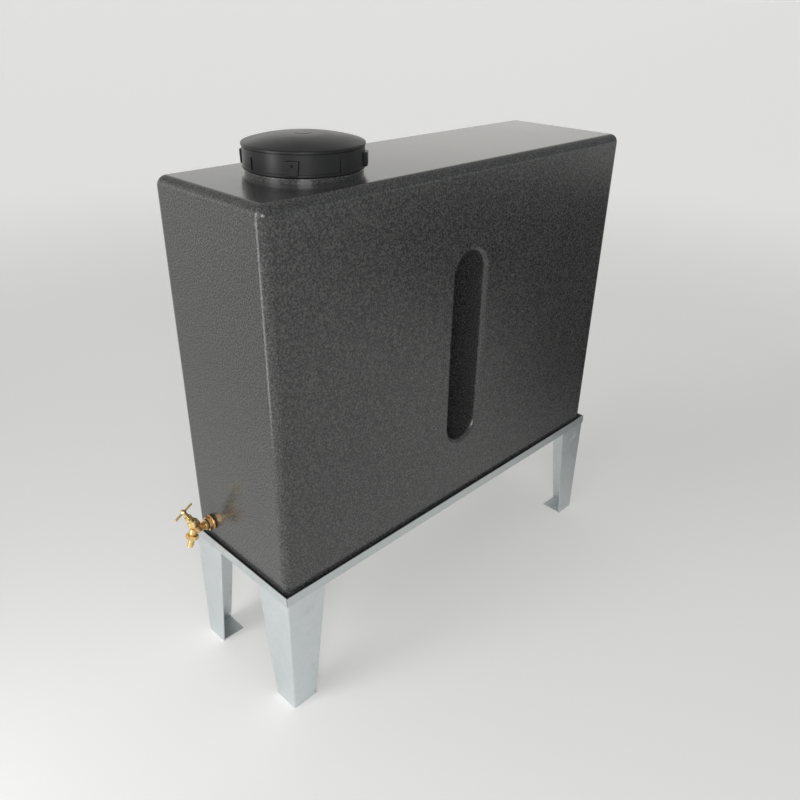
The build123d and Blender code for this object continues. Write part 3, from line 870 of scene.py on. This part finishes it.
# %% Lid measures
LID_RADIUS = 120.8 * MM
LID_RIM = 122.6 * MM
LID_INSIDE = 115.8 * MM
LID_THREAD = 113.7 * MM
LID_FOOT = 12.5 * MM
LID_BAND = 6 * MM
LID_RIM_HEIGHT = 56 * MM
LID_SHOULDER = 60 * MM
LID_CROWN = 75 * MM
LID_SHEET = 4 * MM
LID_DISC = 17 * MM
LID_CEILING = 49.8 * MM
LID_BOSS_WIDTH = 27 * MM
LID_BOSS_PROUD = 6 * MM
LID_BOSS_TAPER = 0.76
LID_BOSS_TURN = -49.2
LID_HOLE = 3 * MM


def dome(r_out, z_out, r_in, z_in, steps, power=2.0):
    """A shallow crown from its edge to its middle, steeper near the edge."""
    points = []
    for i in range(1, steps + 1):
        t = i / steps
        r = r_out + (r_in - r_out) * t
        points.append((r, z_out + (z_in - z_out) * (1 - (1 - t) ** power)))
    return points


def lid_cap():
    foot, rim, shoulder = LID_FOOT, LID_RIM_HEIGHT, LID_SHOULDER
    skirt = rounded([
        (LID_INSIDE, LID_CEILING - 6 * MM, 0),
        (LID_INSIDE, foot, 0.8 * MM),
        (LID_RADIUS + 1.4 * MM, foot, 0.9 * MM),
        (LID_RADIUS + 1.4 * MM, foot + LID_BAND - 1 * MM, 0.5 * MM),
        (LID_RADIUS, foot + LID_BAND, 0.8 * MM),
        (LID_RADIUS, rim - 3.0 * MM, 0.3 * MM),
        (LID_RADIUS - 0.9 * MM, rim - 2.4 * MM, 0.3 * MM),
        (LID_RADIUS - 0.9 * MM, rim - 1.4 * MM, 0.3 * MM),
        (LID_RIM, rim - 0.8 * MM, 0.4 * MM),
        (LID_RIM, shoulder - 1.2 * MM, 2.2 * MM),
        (LID_RIM - 3.2 * MM, shoulder + 0.2 * MM, 0),
    ], 4)
    crown = dome(LID_RIM - 3.2 * MM, shoulder + 0.2 * MM, LID_DISC, LID_CROWN, 22)
    disc = rounded([
        (LID_DISC, LID_CROWN, 0), (LID_DISC - 0.8 * MM, LID_CROWN + 0.5 * MM, 0.4 * MM),
        (0, LID_CROWN + 0.5 * MM, 0),
    ], 3)[1:]
    under = [(0, LID_CROWN - LID_SHEET), (LID_DISC, LID_CROWN - LID_SHEET)]
    under += dome(LID_DISC, LID_CROWN - LID_SHEET, NECK_BORE - 3 * MM, LID_CEILING, 12, 0.55)
    under += [(LID_INSIDE, LID_CEILING), (LID_INSIDE, LID_CEILING - 6 * MM)]
    return lathe("lid_moulding", skirt + crown + disc + under, 160)


def lid_boss():
    """One boss at angle zero."""
    high = LID_RIM_HEIGHT - 13 * MM
    low = LID_FOOT + 2.5 * MM
    reach = LID_RADIUS + LID_BOSS_PROUD
    half = LID_BOSS_WIDTH / 2
    boss = block("boss", (LID_RADIUS - 3 * MM, -half, low), (reach, half, high))
    with editing(boss):
        pick(boss, "verts", lambda v: near(v.co.z, low))
        stretch_from((0, 0, low), 1, LID_BOSS_TAPER, 1)
        bevel_edges(
            boss, lambda e: all_at(e, 0, reach) or not near(e.verts[0].co.x, e.verts[1].co.x),
            1.6 * MM, 4,
        )
    hole_line = aimed((reach, 0, high - 8 * MM), (1, 0, 0), (0, 1, 0))
    drill(boss, LID_HOLE, -9 * MM, 9 * MM, 32, hole_line)
    panel_low = (reach - 1 * MM, -8 * MM, low + 4 * MM)
    panel = block("panel", panel_low, (reach + 1 * MM, 8 * MM, high - 13 * MM))
    with editing(panel):
        pick_all()
        bpy.ops.mesh.bevel(offset=0.4 * MM, segments=2, affect="EDGES")
    cut(boss, panel)
    return boss


def lid_rib():
    """One grip rib at angle zero."""
    low = LID_FOOT + LID_BAND - 1 * MM
    high = LID_RIM_HEIGHT - 15 * MM
    half = 1.6 * MM
    rib = block("rib", (LID_RADIUS - 1 * MM, -half, low), (LID_RADIUS + 2.4 * MM, half, high))
    with editing(rib):
        bevel_edges(rib, lambda e: any(v.co.x > LID_RADIUS for v in e.verts), 0.8 * MM, 3)
    return rib


def lid_piece():
    lid = lid_cap()
    for make, start in ((lid_boss, LID_BOSS_TURN), (lid_rib, LID_BOSS_TURN + 45)):
        for quarter in range(4):
            join_solids(lid, moved(make(), turned(start + 90 * quarter)))
    join_solids(lid, helix_ridge(
        "lid_thread", LID_INSIDE + 1 * MM, LID_THREAD, LID_FOOT + 4 * MM, 4 * MM, 1.4 * MM
    ))
    moved(lid, Matrix.Translation(NECK_CENTRE))
    smooth(lid, 34)
    hand_over(lid, BLACK_LID, "black_lid", "lid", body="lid")


lid_piece()

# %% [markdown]
# ## The stand
#
# The frame is rolled angle, 25 by 25 by 3 mm. Rolled angle has a fillet inside and rounded toes,
# and its corners are mitred with a hairline gap. We bevel one bar, cut its ends with a bisecting
# plane, and turn copies of it round the tank. The cross bearers under the tank are the same bar.

# %% Angle bars
ANGLE = 25 * MM
ANGLE_THICK = 3 * MM
ROOT_FILLET = 3 * MM
TOE_RADIUS = 1.5 * MM
MITRE_GAP = 0.5 * MM
ROLLED_EDGE = 0.75 * MM
SHORN_EDGE = 0.35 * MM
rail_low, rail_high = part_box("front_rail")
back_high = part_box("back_rail")[1]
FRAME_HALF_X = (rail_high.x - rail_low.x) / 2 + MITRE_GAP
FRAME_HALF_Y = (back_high.y - rail_low.y) / 2
FRAME_FOOT = rail_low.z
FRAME_CENTRE = Vector((tank_middle.x, tank_middle.y, FRAME_FOOT))


def angle_bar(name, length):
    """Angle along X: upstand at y = 0, shelf towards +Y, lying on z = 0."""
    bar = block(name, (-length / 2, 0, 0), (length / 2, ANGLE, ANGLE_THICK))
    with editing(bar):
        pick_all()
        bpy.ops.mesh.bisect(plane_co=(0, ANGLE_THICK, 0), plane_no=(0, 1, 0))
        pick(bar, "faces", lambda f: f.normal.z > 0.9 and f.calc_center_median().y < ANGLE_THICK)
        extrude_by(0, 0, ANGLE - ANGLE_THICK)
        for y, z, radius, segments in (
            (ANGLE_THICK, ANGLE_THICK, ROOT_FILLET, 5),
            (ANGLE_THICK, ANGLE, TOE_RADIUS, 4),
            (ANGLE, ANGLE_THICK, TOE_RADIUS, 4),
        ):
            bevel_edges(bar, lambda e: all_at(e, 1, y) and all_at(e, 2, z), radius, segments)
    return bar


def mitred(bar, length):
    with editing(bar):
        for end in (-1, 1):
            pick_all()
            bpy.ops.mesh.bisect(
                plane_co=(end * (length / 2 - MITRE_GAP), 0, 0), plane_no=(end, 1, 0),
                clear_outer=True, use_fill=True,
            )
    face_outwards(bar)
    return bar


def steel_finish(piece, steel, edge, *nodes):
    soften_edges(piece, edge)
    smooth(piece, 40)
    hand_over(piece, steel, "galvanised_steel", *nodes)


def stand_rails():
    for node, half_length, half_reach, turn in (
        ("front_rail", FRAME_HALF_X, FRAME_HALF_Y, 0),
        ("right_rail", FRAME_HALF_Y, FRAME_HALF_X, 90),
        ("back_rail", FRAME_HALF_X, FRAME_HALF_Y, 180),
        ("left_rail", FRAME_HALF_Y, FRAME_HALF_X, 270),
    ):
        rail = mitred(angle_bar(node + "_bar", 2 * half_length), 2 * half_length)
        inwards = Matrix.Translation((0, -half_reach, 0))
        moved(rail, Matrix.Translation(FRAME_CENTRE) @ turned(turn) @ inwards)
        steel_finish(rail, PAINTED_SHADE_STEEL, ROLLED_EDGE, node)


def stand_bearers():
    for node in ("bearer_left", "bearer_right"):
        low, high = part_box(node)
        bar = angle_bar(node + "_bar", high.y - low.y)
        upside_down = Matrix.Rotation(pi, 4, "X")
        centre = Vector((low.x, (low.y + high.y) / 2, high.z))
        moved(bar, Matrix.Translation(centre) @ turned(90) @ upside_down)
        steel_finish(bar, PAINTED_SHADE_STEEL, ROLLED_EDGE, node)


stand_rails()
stand_bearers()

# %% [markdown]
# Each leg is one piece of sheet, folded down its outer corner, tapering from the frame to the
# floor, with a square foot plate turned in underneath. We draw the two flanges as flat faces,
# round the fold, and let Solidify give the sheet its thickness. A small round hole relieves the
# metal where the foot was folded.

# %% Legs
LEG_SHEET = 2.5 * MM
LEG_SET_BACK = 1 * MM
LEG_TOP = 106 * MM
LEG_FLOOR = 65 * MM
LEG_NECK = 12 * MM
LEG_BEND = 4 * MM
FOOT = 64 * MM
RELIEF_RADIUS = 3 * MM
RELIEF_HEIGHT = 8.5 * MM


def leg_sheet(name):
    """The two flanges as a thin folded sheet, outer corner on the Z axis."""
    deselect_all()
    bpy.ops.mesh.primitive_plane_add(size=1, location=(0.5, 0, 0.5), rotation=(pi / 2, 0, 0))
    sheet = settle(bpy.context.object, name)
    with editing(sheet):
        pick_all()
        stretch_from((0, 0, 0), LEG_FLOOR, 1, FRAME_FOOT)
        pick(sheet, "edges", lambda e: all_at(e, 0, 0))
        extrude_by(0, LEG_FLOOR, 0)
        pick_all()
        bpy.ops.mesh.bisect(plane_co=(0, 0, FRAME_FOOT - LEG_NECK), plane_no=(0, 0, 1))
        flare = LEG_TOP - LEG_FLOOR
        for axis, way in ((0, (flare, 0, 0)), (1, (0, flare, 0))):
            pick(sheet, "verts", lambda v: v.co.z > FRAME_FOOT / 2 and near(v.co[axis], LEG_FLOOR))
            bpy.ops.transform.translate(value=way)
        bevel_edges(sheet, lambda e: all_at(e, 0, 0) and all_at(e, 1, 0), LEG_BEND, 6)
        pick_all()
        bpy.ops.mesh.normals_make_consistent(inside=False)
    modify(sheet, "SOLIDIFY", thickness=LEG_SHEET, offset=0, use_even_offset=True)
    return sheet


def whole_leg(name):
    sheet = leg_sheet(name)
    half = LEG_SHEET / 2
    moved(sheet, Matrix.Translation((half, half, 0)))
    foot = block("foot", (LEG_BEND / 2, LEG_BEND / 2, 0), (FOOT, FOOT, LEG_SHEET))
    with editing(foot):
        bevel_edges(
            foot, lambda e: upright(e) and e.verts[0].co.x > half and e.verts[0].co.y > FOOT / 2,
            3 * MM, 4,
        )
    join_solids(sheet, foot)
    relief_line = aimed((LEG_FLOOR, 0, RELIEF_HEIGHT), (0, 1, 0), (1, 0, 0))
    drill(sheet, RELIEF_RADIUS, -8 * MM, 8 * MM, 24, relief_line)
    return sheet


def stand_legs():
    corner_x = FRAME_HALF_X - LEG_SET_BACK
    corner_y = FRAME_HALF_Y - LEG_SET_BACK
    for side_x, name_x in ((-1, "left"), (1, "right")):
        for side_y, name_y in ((-1, "front"), (1, "back")):
            node = f"leg_{name_y}_{name_x}"
            leg = whole_leg(node + "_sheet")
            corner = (tank_middle.x + side_x * corner_x, tank_middle.y + side_y * corner_y, 0)
            mirrored = Matrix.Diagonal((-side_x, -side_y, 1, 1))
            moved(leg, Matrix.Translation(corner) @ mirrored)
            face_outwards(leg)
            steel_finish(leg, PAINTED_LIGHT_STEEL, SHORN_EDGE, node)


stand_legs()

# %% [markdown]
# Short welds hold the legs under the frame and the bearers between the shelves. A weld bead is
# a row of frozen ripples, so each is turned as a small rod whose radius rises and falls.

# %% Welds
BEAD = 2.2 * MM
LEG_WELD = 58 * MM
LEG_WELD_AWAY = 52 * MM
BEARER_WELD = 18 * MM


def weld_bead(name, length):
    ripples = int(length / (2.4 * MM))
    outline = [(0, -length / 2)]
    for i in range(2 * ripples + 1):
        t = i / (2 * ripples)
        swell = BEAD * (0.86 + 0.14 * (i % 2)) * min(1, 6 * t + 0.35, 6 * (1 - t) + 0.35)
        outline.append((swell, (t - 0.5) * length * 0.985))
    outline.append((0, length / 2))
    return lathe(name, outline, 10)


def stand_welds():
    beads = []
    corner_x = FRAME_HALF_X - LEG_SET_BACK - LEG_SHEET
    corner_y = FRAME_HALF_Y - LEG_SET_BACK - LEG_SHEET
    under = FRAME_FOOT - 0.6 * MM
    for side_x in (-1, 1):
        for side_y in (-1, 1):
            x = tank_middle.x + side_x * corner_x
            y = tank_middle.y + side_y * corner_y
            along_x = aimed((x - side_x * LEG_WELD_AWAY, y, under), (1, 0, 0), (0, 0, 1))
            along_y = aimed((x, y - side_y * LEG_WELD_AWAY, under), (0, 1, 0), (0, 0, 1))
            for place in (along_x, along_y):
                beads.append(moved(weld_bead("bead", LEG_WELD), place))
    for node in ("bearer_left", "bearer_right"):
        low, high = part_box(node)
        for y in (low.y, high.y):
            middle = (low.x + 14 * MM, y, high.z - ANGLE_THICK - 0.3 * MM)
            place = aimed(middle, (1, 0, 0), (0, 0, 1))
            beads.append(moved(weld_bead("bead", BEARER_WELD), place))
    deselect_all()
    for bead in beads:
        bead.select_set(True)
    bpy.context.view_layer.objects.active = beads[0]
    bpy.ops.object.join()
    welds = settle(bpy.context.object, "stand_welds")
    smooth(welds, 60)
    hand_over(welds, PAINTED_SHADE_STEEL, "galvanised_steel")


stand_welds()

# %% [markdown]
# ## The tap
#
# The tap has three lines. Water comes in square to the wall, the spindle leans forward from
# upright, and the outlet leans forward from straight down. The last two are the axes of the
# frame's own joints, so we read them there. Each piece is modelled along Z and then stood on
# its line.

# %% Tap lines
joints = {joint["name"]: joint for joint in frame["joints"]}


def joint_frame(name, across):
    return aimed(Vector(joints[name]["pos_m"]), joints[name]["axis"], across)


SPINDLE_FRAME = joint_frame("spindle_turn", (1, 0, 0))
OUTLET_FRAME = joint_frame("hose_nut_turn", (0, 1, 0))
INLET_RADIUS = 10.3 * MM
HEX_FROM = 6 * MM
HEX_TO = 16 * MM
TAP_REACH = 41.5 * MM
SEAT = 5 * MM
BODY_TOP = 17 * MM
BONNET_HEX_TOP = 26 * MM
BELL_TOP = 43 * MM
GLAND_TOP = 52 * MM
SPINDLE_RADIUS = 4 * MM
STEM_WAY = SPINDLE_RADIUS + 0.3 * MM
TEE_HEIGHT = 69.5 * MM
TEE_LENGTH = 54 * MM
TEE_RADIUS = 2.75 * MM
TEE_TURN = 6
SPIGOT_END = 15 * MM
NUT_FROM = 9.5 * MM
NUT_TO = 19.5 * MM
TAIL_RADIUS = 7 * MM
TAIL_END = 42 * MM


def stand_on(line, piece, crease, material, slot, *nodes, body=STAND_BODY):
    """Moves a piece to its line, smooths all but its sharp edges and hands it over."""
    smooth(moved(piece, line), crease)
    hand_over(piece, material, slot, *nodes, body=body)


# %% [markdown]
# The tank connector is a gunmetal bush: a barrel through the wall, a round flange that presses
# the rubber washer, and a large hexagon with its corners turned off.

# %% Tank connector and washers


def connector_piece():
    bush = hexagon("connector_bush", 36 * MM, HEX_FROM, HEX_TO, 1.2 * MM, 10)
    edge, back, front = 18.5 * MM, 3 * MM, 6.4 * MM
    flange = lathe("flange", rounded([
        (0, back, 0), (edge, back, 0.5 * MM), (edge, front, 0.8 * MM), (0, front, 0),
    ], 3), 64)
    barrel = rod("barrel", 13.2 * MM, -22 * MM, 4 * MM, 64)
    join_solids(bush, flange, barrel)
    drill(bush, 8 * MM, -25 * MM, 5 * MM)
    drill(bush, INLET_RADIUS + 0.1 * MM, 3 * MM, HEX_TO + 2 * MM)
    soften_edges(bush, 0.3 * MM)
    stand_on(WALL_FRAME, bush, 40, RED_BRASS, "red_brass", "tank_connector")


def wall_washers():
    for node, outer, inner, low, high in (
        ("outer_wall_washer", 18, 13.4, 0, 3),
        ("inner_wall_washer", 20, 13.4, -9, -6),
        ("tap_joint_washer", 13, 10.4, 16, 18),
    ):
        washer = ring(node + "_ring", outer * MM, inner * MM, low * MM, high * MM, 0.5 * MM)
        stand_on(WALL_FRAME, washer, 40, RUBBER, "black_rubber", node)


connector_piece()
wall_washers()

# %% [markdown]
# The tap body is a sand casting. Where its three tubes meet the metal flows in soft fillets, and
# a voxel remesh followed by a few rounds of smoothing makes just that. The machined collar and
# the outlet's thread are joined on afterwards, so that they stay crisp, and the waterway is cut
# through last.

# %% Tap body
INLET_WAY = 5.5 * MM
OUTLET_WAY = 4.5 * MM
SEAT_WAY = 3.5 * MM
CHAMBER = 9 * MM
BONNET_THREAD = 10.4 * MM


def outlet_thread(name, root, crest, start, end, pitch):
    """Fine parallel ridges that read as a pipe thread."""
    outline = [(0, start), (root, start)]
    count = int((end - start) / pitch)
    for i in range(count):
        low = start + i * pitch
        for r, along in ((root, 0.15), (crest, 0.5), (root, 0.85)):
            outline.append((r, low + along * pitch))
    outline += [(root, end), (0, end)]
    return lathe(name, outline, 64)


def flowed_casting(name, *solids):
    """Melts overlapping solids into one skin with soft fillets where they meet."""
    deselect_all()
    for solid in solids:
        solid.select_set(True)
    bpy.context.view_layer.objects.active = solids[0]
    bpy.ops.object.join()
    casting = bpy.context.object
    casting.name = name
    modify(casting, "REMESH", mode="VOXEL", voxel_size=0.55 * MM)
    modify(casting, "SMOOTH", factor=0.5, iterations=7)
    return casting


def tap_body_piece():
    to_wall = SPINDLE_FRAME.inverted() @ WALL_FRAME
    to_outlet = SPINDLE_FRAME.inverted() @ OUTLET_FRAME
    deselect_all()
    bpy.ops.mesh.primitive_uv_sphere_add(
        segments=48, ring_count=24, radius=12.8 * MM, location=(0, 0, 3 * MM)
    )
    casting = flowed_casting(
        "tap_casting", settle(bpy.context.object, "ball"),
        rod("chamber_wall", 12.6 * MM, 3 * MM, BODY_TOP - 1 * MM),
        rod("collar", 13.6 * MM, BODY_TOP - 5 * MM, BODY_TOP),
        moved(rod("inlet", 9.8 * MM, 20 * MM, TAP_REACH), to_wall),
        moved(rod("outlet", 9.0 * MM, -6 * MM, 10 * MM), to_outlet),
    )
    flats = moved(hexagon("flats", 27 * MM, 18 * MM, 23 * MM, 0.7 * MM, 15), to_wall)
    spigot = moved(rod("spigot", INLET_RADIUS, 5 * MM, 21 * MM, 48), to_wall)
    thread = outlet_thread("thread", 9.5 * MM, 10.35 * MM, 7 * MM, SPIGOT_END, 1.6 * MM)
    moved(thread, to_outlet)
    face = rod("face", 14 * MM, BODY_TOP - 2.5 * MM, BODY_TOP, 64)
    join_solids(casting, face, flats, spigot, thread)
    drill(casting, INLET_WAY, 3 * MM, TAP_REACH + 1 * MM, line=to_wall)
    drill(casting, OUTLET_WAY, -6 * MM, SPIGOT_END + 2 * MM, line=to_outlet)
    drill(casting, SEAT_WAY, -1 * MM, SEAT + 1 * MM)
    drill(casting, CHAMBER, SEAT, SEAT + 3.5 * MM)
    drill(casting, BONNET_THREAD, SEAT + 3 * MM, BODY_TOP + 1 * MM)
    stand_on(SPINDLE_FRAME, casting, 42, CAST_BRASS, "yellow_brass", "tap_body")


tap_body_piece()

# %% [markdown]
# The bonnet screws into the body. It is a hexagon with a bell above it that narrows in a soft
# curve to the stuffing box, where the gland nut squeezes the packing round the spindle.

# %% Bonnet and gland


def bonnet_piece():
    base = hexagon("bonnet_bell", 30 * MM, BODY_TOP + 1 * MM, BONNET_HEX_TOP, 1.0 * MM, 15)
    bell = lathe("bell", rounded([
        (0, BODY_TOP + 2 * MM, 0), (12.4 * MM, BODY_TOP + 2 * MM, 0),
        (12.8 * MM, BONNET_HEX_TOP + 0.6 * MM, 1 * MM),
        (11.9 * MM, BONNET_HEX_TOP + 4 * MM, 4 * MM), (8.9 * MM, BELL_TOP - 8 * MM, 9 * MM),
        (8.7 * MM, BELL_TOP - 3 * MM, 1 * MM), (8.2 * MM, BELL_TOP, 0.5 * MM), (0, BELL_TOP, 0),
    ], 6), 64)
    skirt = rod("skirt", 10.2 * MM, SEAT + 4 * MM, BODY_TOP + 2 * MM, 48)
    join_solids(base, bell, skirt)
    drill(base, 6.3 * MM, SEAT + 3 * MM, BONNET_HEX_TOP + 6 * MM, 40)
    drill(base, STEM_WAY, BONNET_HEX_TOP, BELL_TOP + 1 * MM, 40)
    drill(base, 6 * MM, BELL_TOP - 6 * MM, BELL_TOP + 1 * MM, 40)
    soften_edges(base, 0.25 * MM)
    stand_on(SPINDLE_FRAME, base, 42, YELLOW_BRASS, "yellow_brass", "bonnet")


def gland_piece():
    gland = hexagon("gland_hexagon", 17 * MM, BELL_TOP, GLAND_TOP - 1.5 * MM, 0.7 * MM)
    cap = rod("cap", 6.8 * MM, GLAND_TOP - 4 * MM, GLAND_TOP, 40)
    follower = rod("follower", 5.9 * MM, BELL_TOP - 1 * MM, BELL_TOP + 1 * MM, 40)
    join_solids(gland, cap, follower)
    drill(gland, STEM_WAY, BELL_TOP - 2 * MM, GLAND_TOP + 1 * MM, 40)
    soften_edges(gland, 0.22 * MM)
    stand_on(SPINDLE_FRAME, gland, 42, YELLOW_BRASS, "yellow_brass", "gland_nut")


def bonnet_washer_piece():
    low, high = BODY_TOP, BODY_TOP + 1 * MM
    washer = ring("bonnet_washer_ring", 13.8 * MM, 10.3 * MM, low, high, 0.25 * MM)
    stand_on(SPINDLE_FRAME, washer, 40, FIBRE, "fibre_washer", "bonnet_washer")


bonnet_piece()
gland_piece()
bonnet_washer_piece()

# %% [markdown]
# The handle is a turned hub with a ball on its neck, and a plain bar pushed through the ball.
# The bar's ends are turned round so that they don't catch a hand. A little grub screw holds the
# hub on the spindle.

# %% Handle
BAR_LINE = aimed((0, 0, TEE_HEIGHT), (1, 0, 0), (0, 1, 0))


def tee_hub_piece():
    ball = arc((0, TEE_HEIGHT), 6.9 * MM, -47, 60, 14)
    outline = rounded([
        (4.1 * MM, 58 * MM, 0), (4.1 * MM, 54.5 * MM, 0), (5.6 * MM, 54.5 * MM, 0.5 * MM),
        (5.6 * MM, 57 * MM, 1.0 * MM), (4.9 * MM, 60 * MM, 1.5 * MM), (*ball[0], 0),
    ], 4)
    outline += ball[1:]
    outline += rounded([
        (*ball[-1], 0), (3.3 * MM, TEE_HEIGHT + 7.2 * MM, 0.8 * MM),
        (0, TEE_HEIGHT + 7.4 * MM, 0),
    ], 4)[1:]
    outline += [(0, 64.1 * MM), (4.1 * MM, 64.1 * MM), (4.1 * MM, 58 * MM)]
    hub = lathe("tee_hub_turning", outline, 64)
    drill(hub, TEE_RADIUS + 0.05 * MM, -12 * MM, 12 * MM, 32, BAR_LINE)
    screw_line = aimed((0, 0, 60.5 * MM), (0, -1, 0), (1, 0, 0))
    drill(hub, 1.6 * MM, 2 * MM, 8 * MM, 24, screw_line)
    line = SPINDLE_FRAME @ turned(TEE_TURN)
    stand_on(line, hub, 42, YELLOW_BRASS, "yellow_brass", "tee_hub", body="handle")


def tee_bar_piece():
    half = TEE_LENGTH / 2
    outline = rounded([
        (0, -half, 0), (TEE_RADIUS, -half, 1.6 * MM), (TEE_RADIUS, -half + 6 * MM, 0),
        (TEE_RADIUS, half - 6 * MM, 0), (TEE_RADIUS, half, 1.6 * MM), (0, half, 0),
    ], 5)
    bar = lathe("tee_bar_turning", outline, 40)
    line = SPINDLE_FRAME @ (turned(TEE_TURN) @ BAR_LINE)
    stand_on(line, bar, 42, YELLOW_BRASS, "yellow_brass", "tee_bar", body="handle")


tee_hub_piece()
tee_bar_piece()

# %% [markdown]
# The hose union is a loose hexagon nut that draws a barbed tail up to the outlet. The barbs are
# saw teeth, so a hose slides on easily and grips when it is pulled.

# %% Hose union


def hose_nut_piece():
    nut = hexagon("hose_nut_hexagon", 31 * MM, NUT_FROM, NUT_TO, 1.2 * MM)
    drill(nut, 10.7 * MM, NUT_FROM - 1 * MM, NUT_TO - 1.5 * MM)
    drill(nut, TAIL_RADIUS + 0.6 * MM, NUT_TO - 3 * MM, NUT_TO + 1 * MM)
    soften_edges(nut, 0.3 * MM)
    stand_on(OUTLET_FRAME, nut, 42, CAST_BRASS, "yellow_brass", "hose_union_nut", body="hose_nut")


def hose_tail_piece():
    flange = SPIGOT_END + 0.9 * MM
    bore = 5 * MM
    corners = [
        (bore, (flange + TAIL_END) / 2, 0), (bore, flange, 0), (10.2 * MM, flange, 0.3 * MM),
        (10.2 * MM, flange + 1.8 * MM, 0.3 * MM), (TAIL_RADIUS, flange + 1.8 * MM, 0.3 * MM),
    ]
    for barb in range(3):
        start = NUT_TO + 2.5 * MM + barb * 6 * MM
        corners += [
            (TAIL_RADIUS, start, 0.1 * MM), (TAIL_RADIUS + 0.9 * MM, start + 0.25 * MM, 0.15 * MM),
            (TAIL_RADIUS, start + 5.2 * MM, 0.1 * MM),
        ]
    corners += [
        (TAIL_RADIUS, TAIL_END - 1 * MM, 0.4 * MM), (TAIL_RADIUS - 1 * MM, TAIL_END, 0.3 * MM),
        (bore, TAIL_END, 0.3 * MM), (bore, (flange + TAIL_END) / 2, 0),
    ]
    tail = lathe("hose_tail_turning", rounded(corners, 3), 64)
    stand_on(OUTLET_FRAME, tail, 30, YELLOW_BRASS, "yellow_brass", "hose_tail")


hose_nut_piece()
hose_tail_piece()

# %% [markdown]
# ## The pieces that stay as they are
#
# The seal, the packing, the spindle and the small valve parts have the right shape already. They
# only need their finish.

# %% Dress the carried-over nodes
KEPT = {
    "lid_seal": RUBBER,
    "gland_packing": RUBBER,
    "hose_union_washer": RUBBER,
    "seat_washer": RUBBER,
    "back_nut": RED_BRASS,
    "spindle": YELLOW_BRASS,
    "handle_grub_screw": PAINTED_SHADE_STEEL,
    "jumper_valve": YELLOW_BRASS,
    "washer_nut": YELLOW_BRASS,
}
for node, material in KEPT.items():
    dress(frame["nodes"][node], material)
print("dressed", len(KEPT), "carried-over nodes")
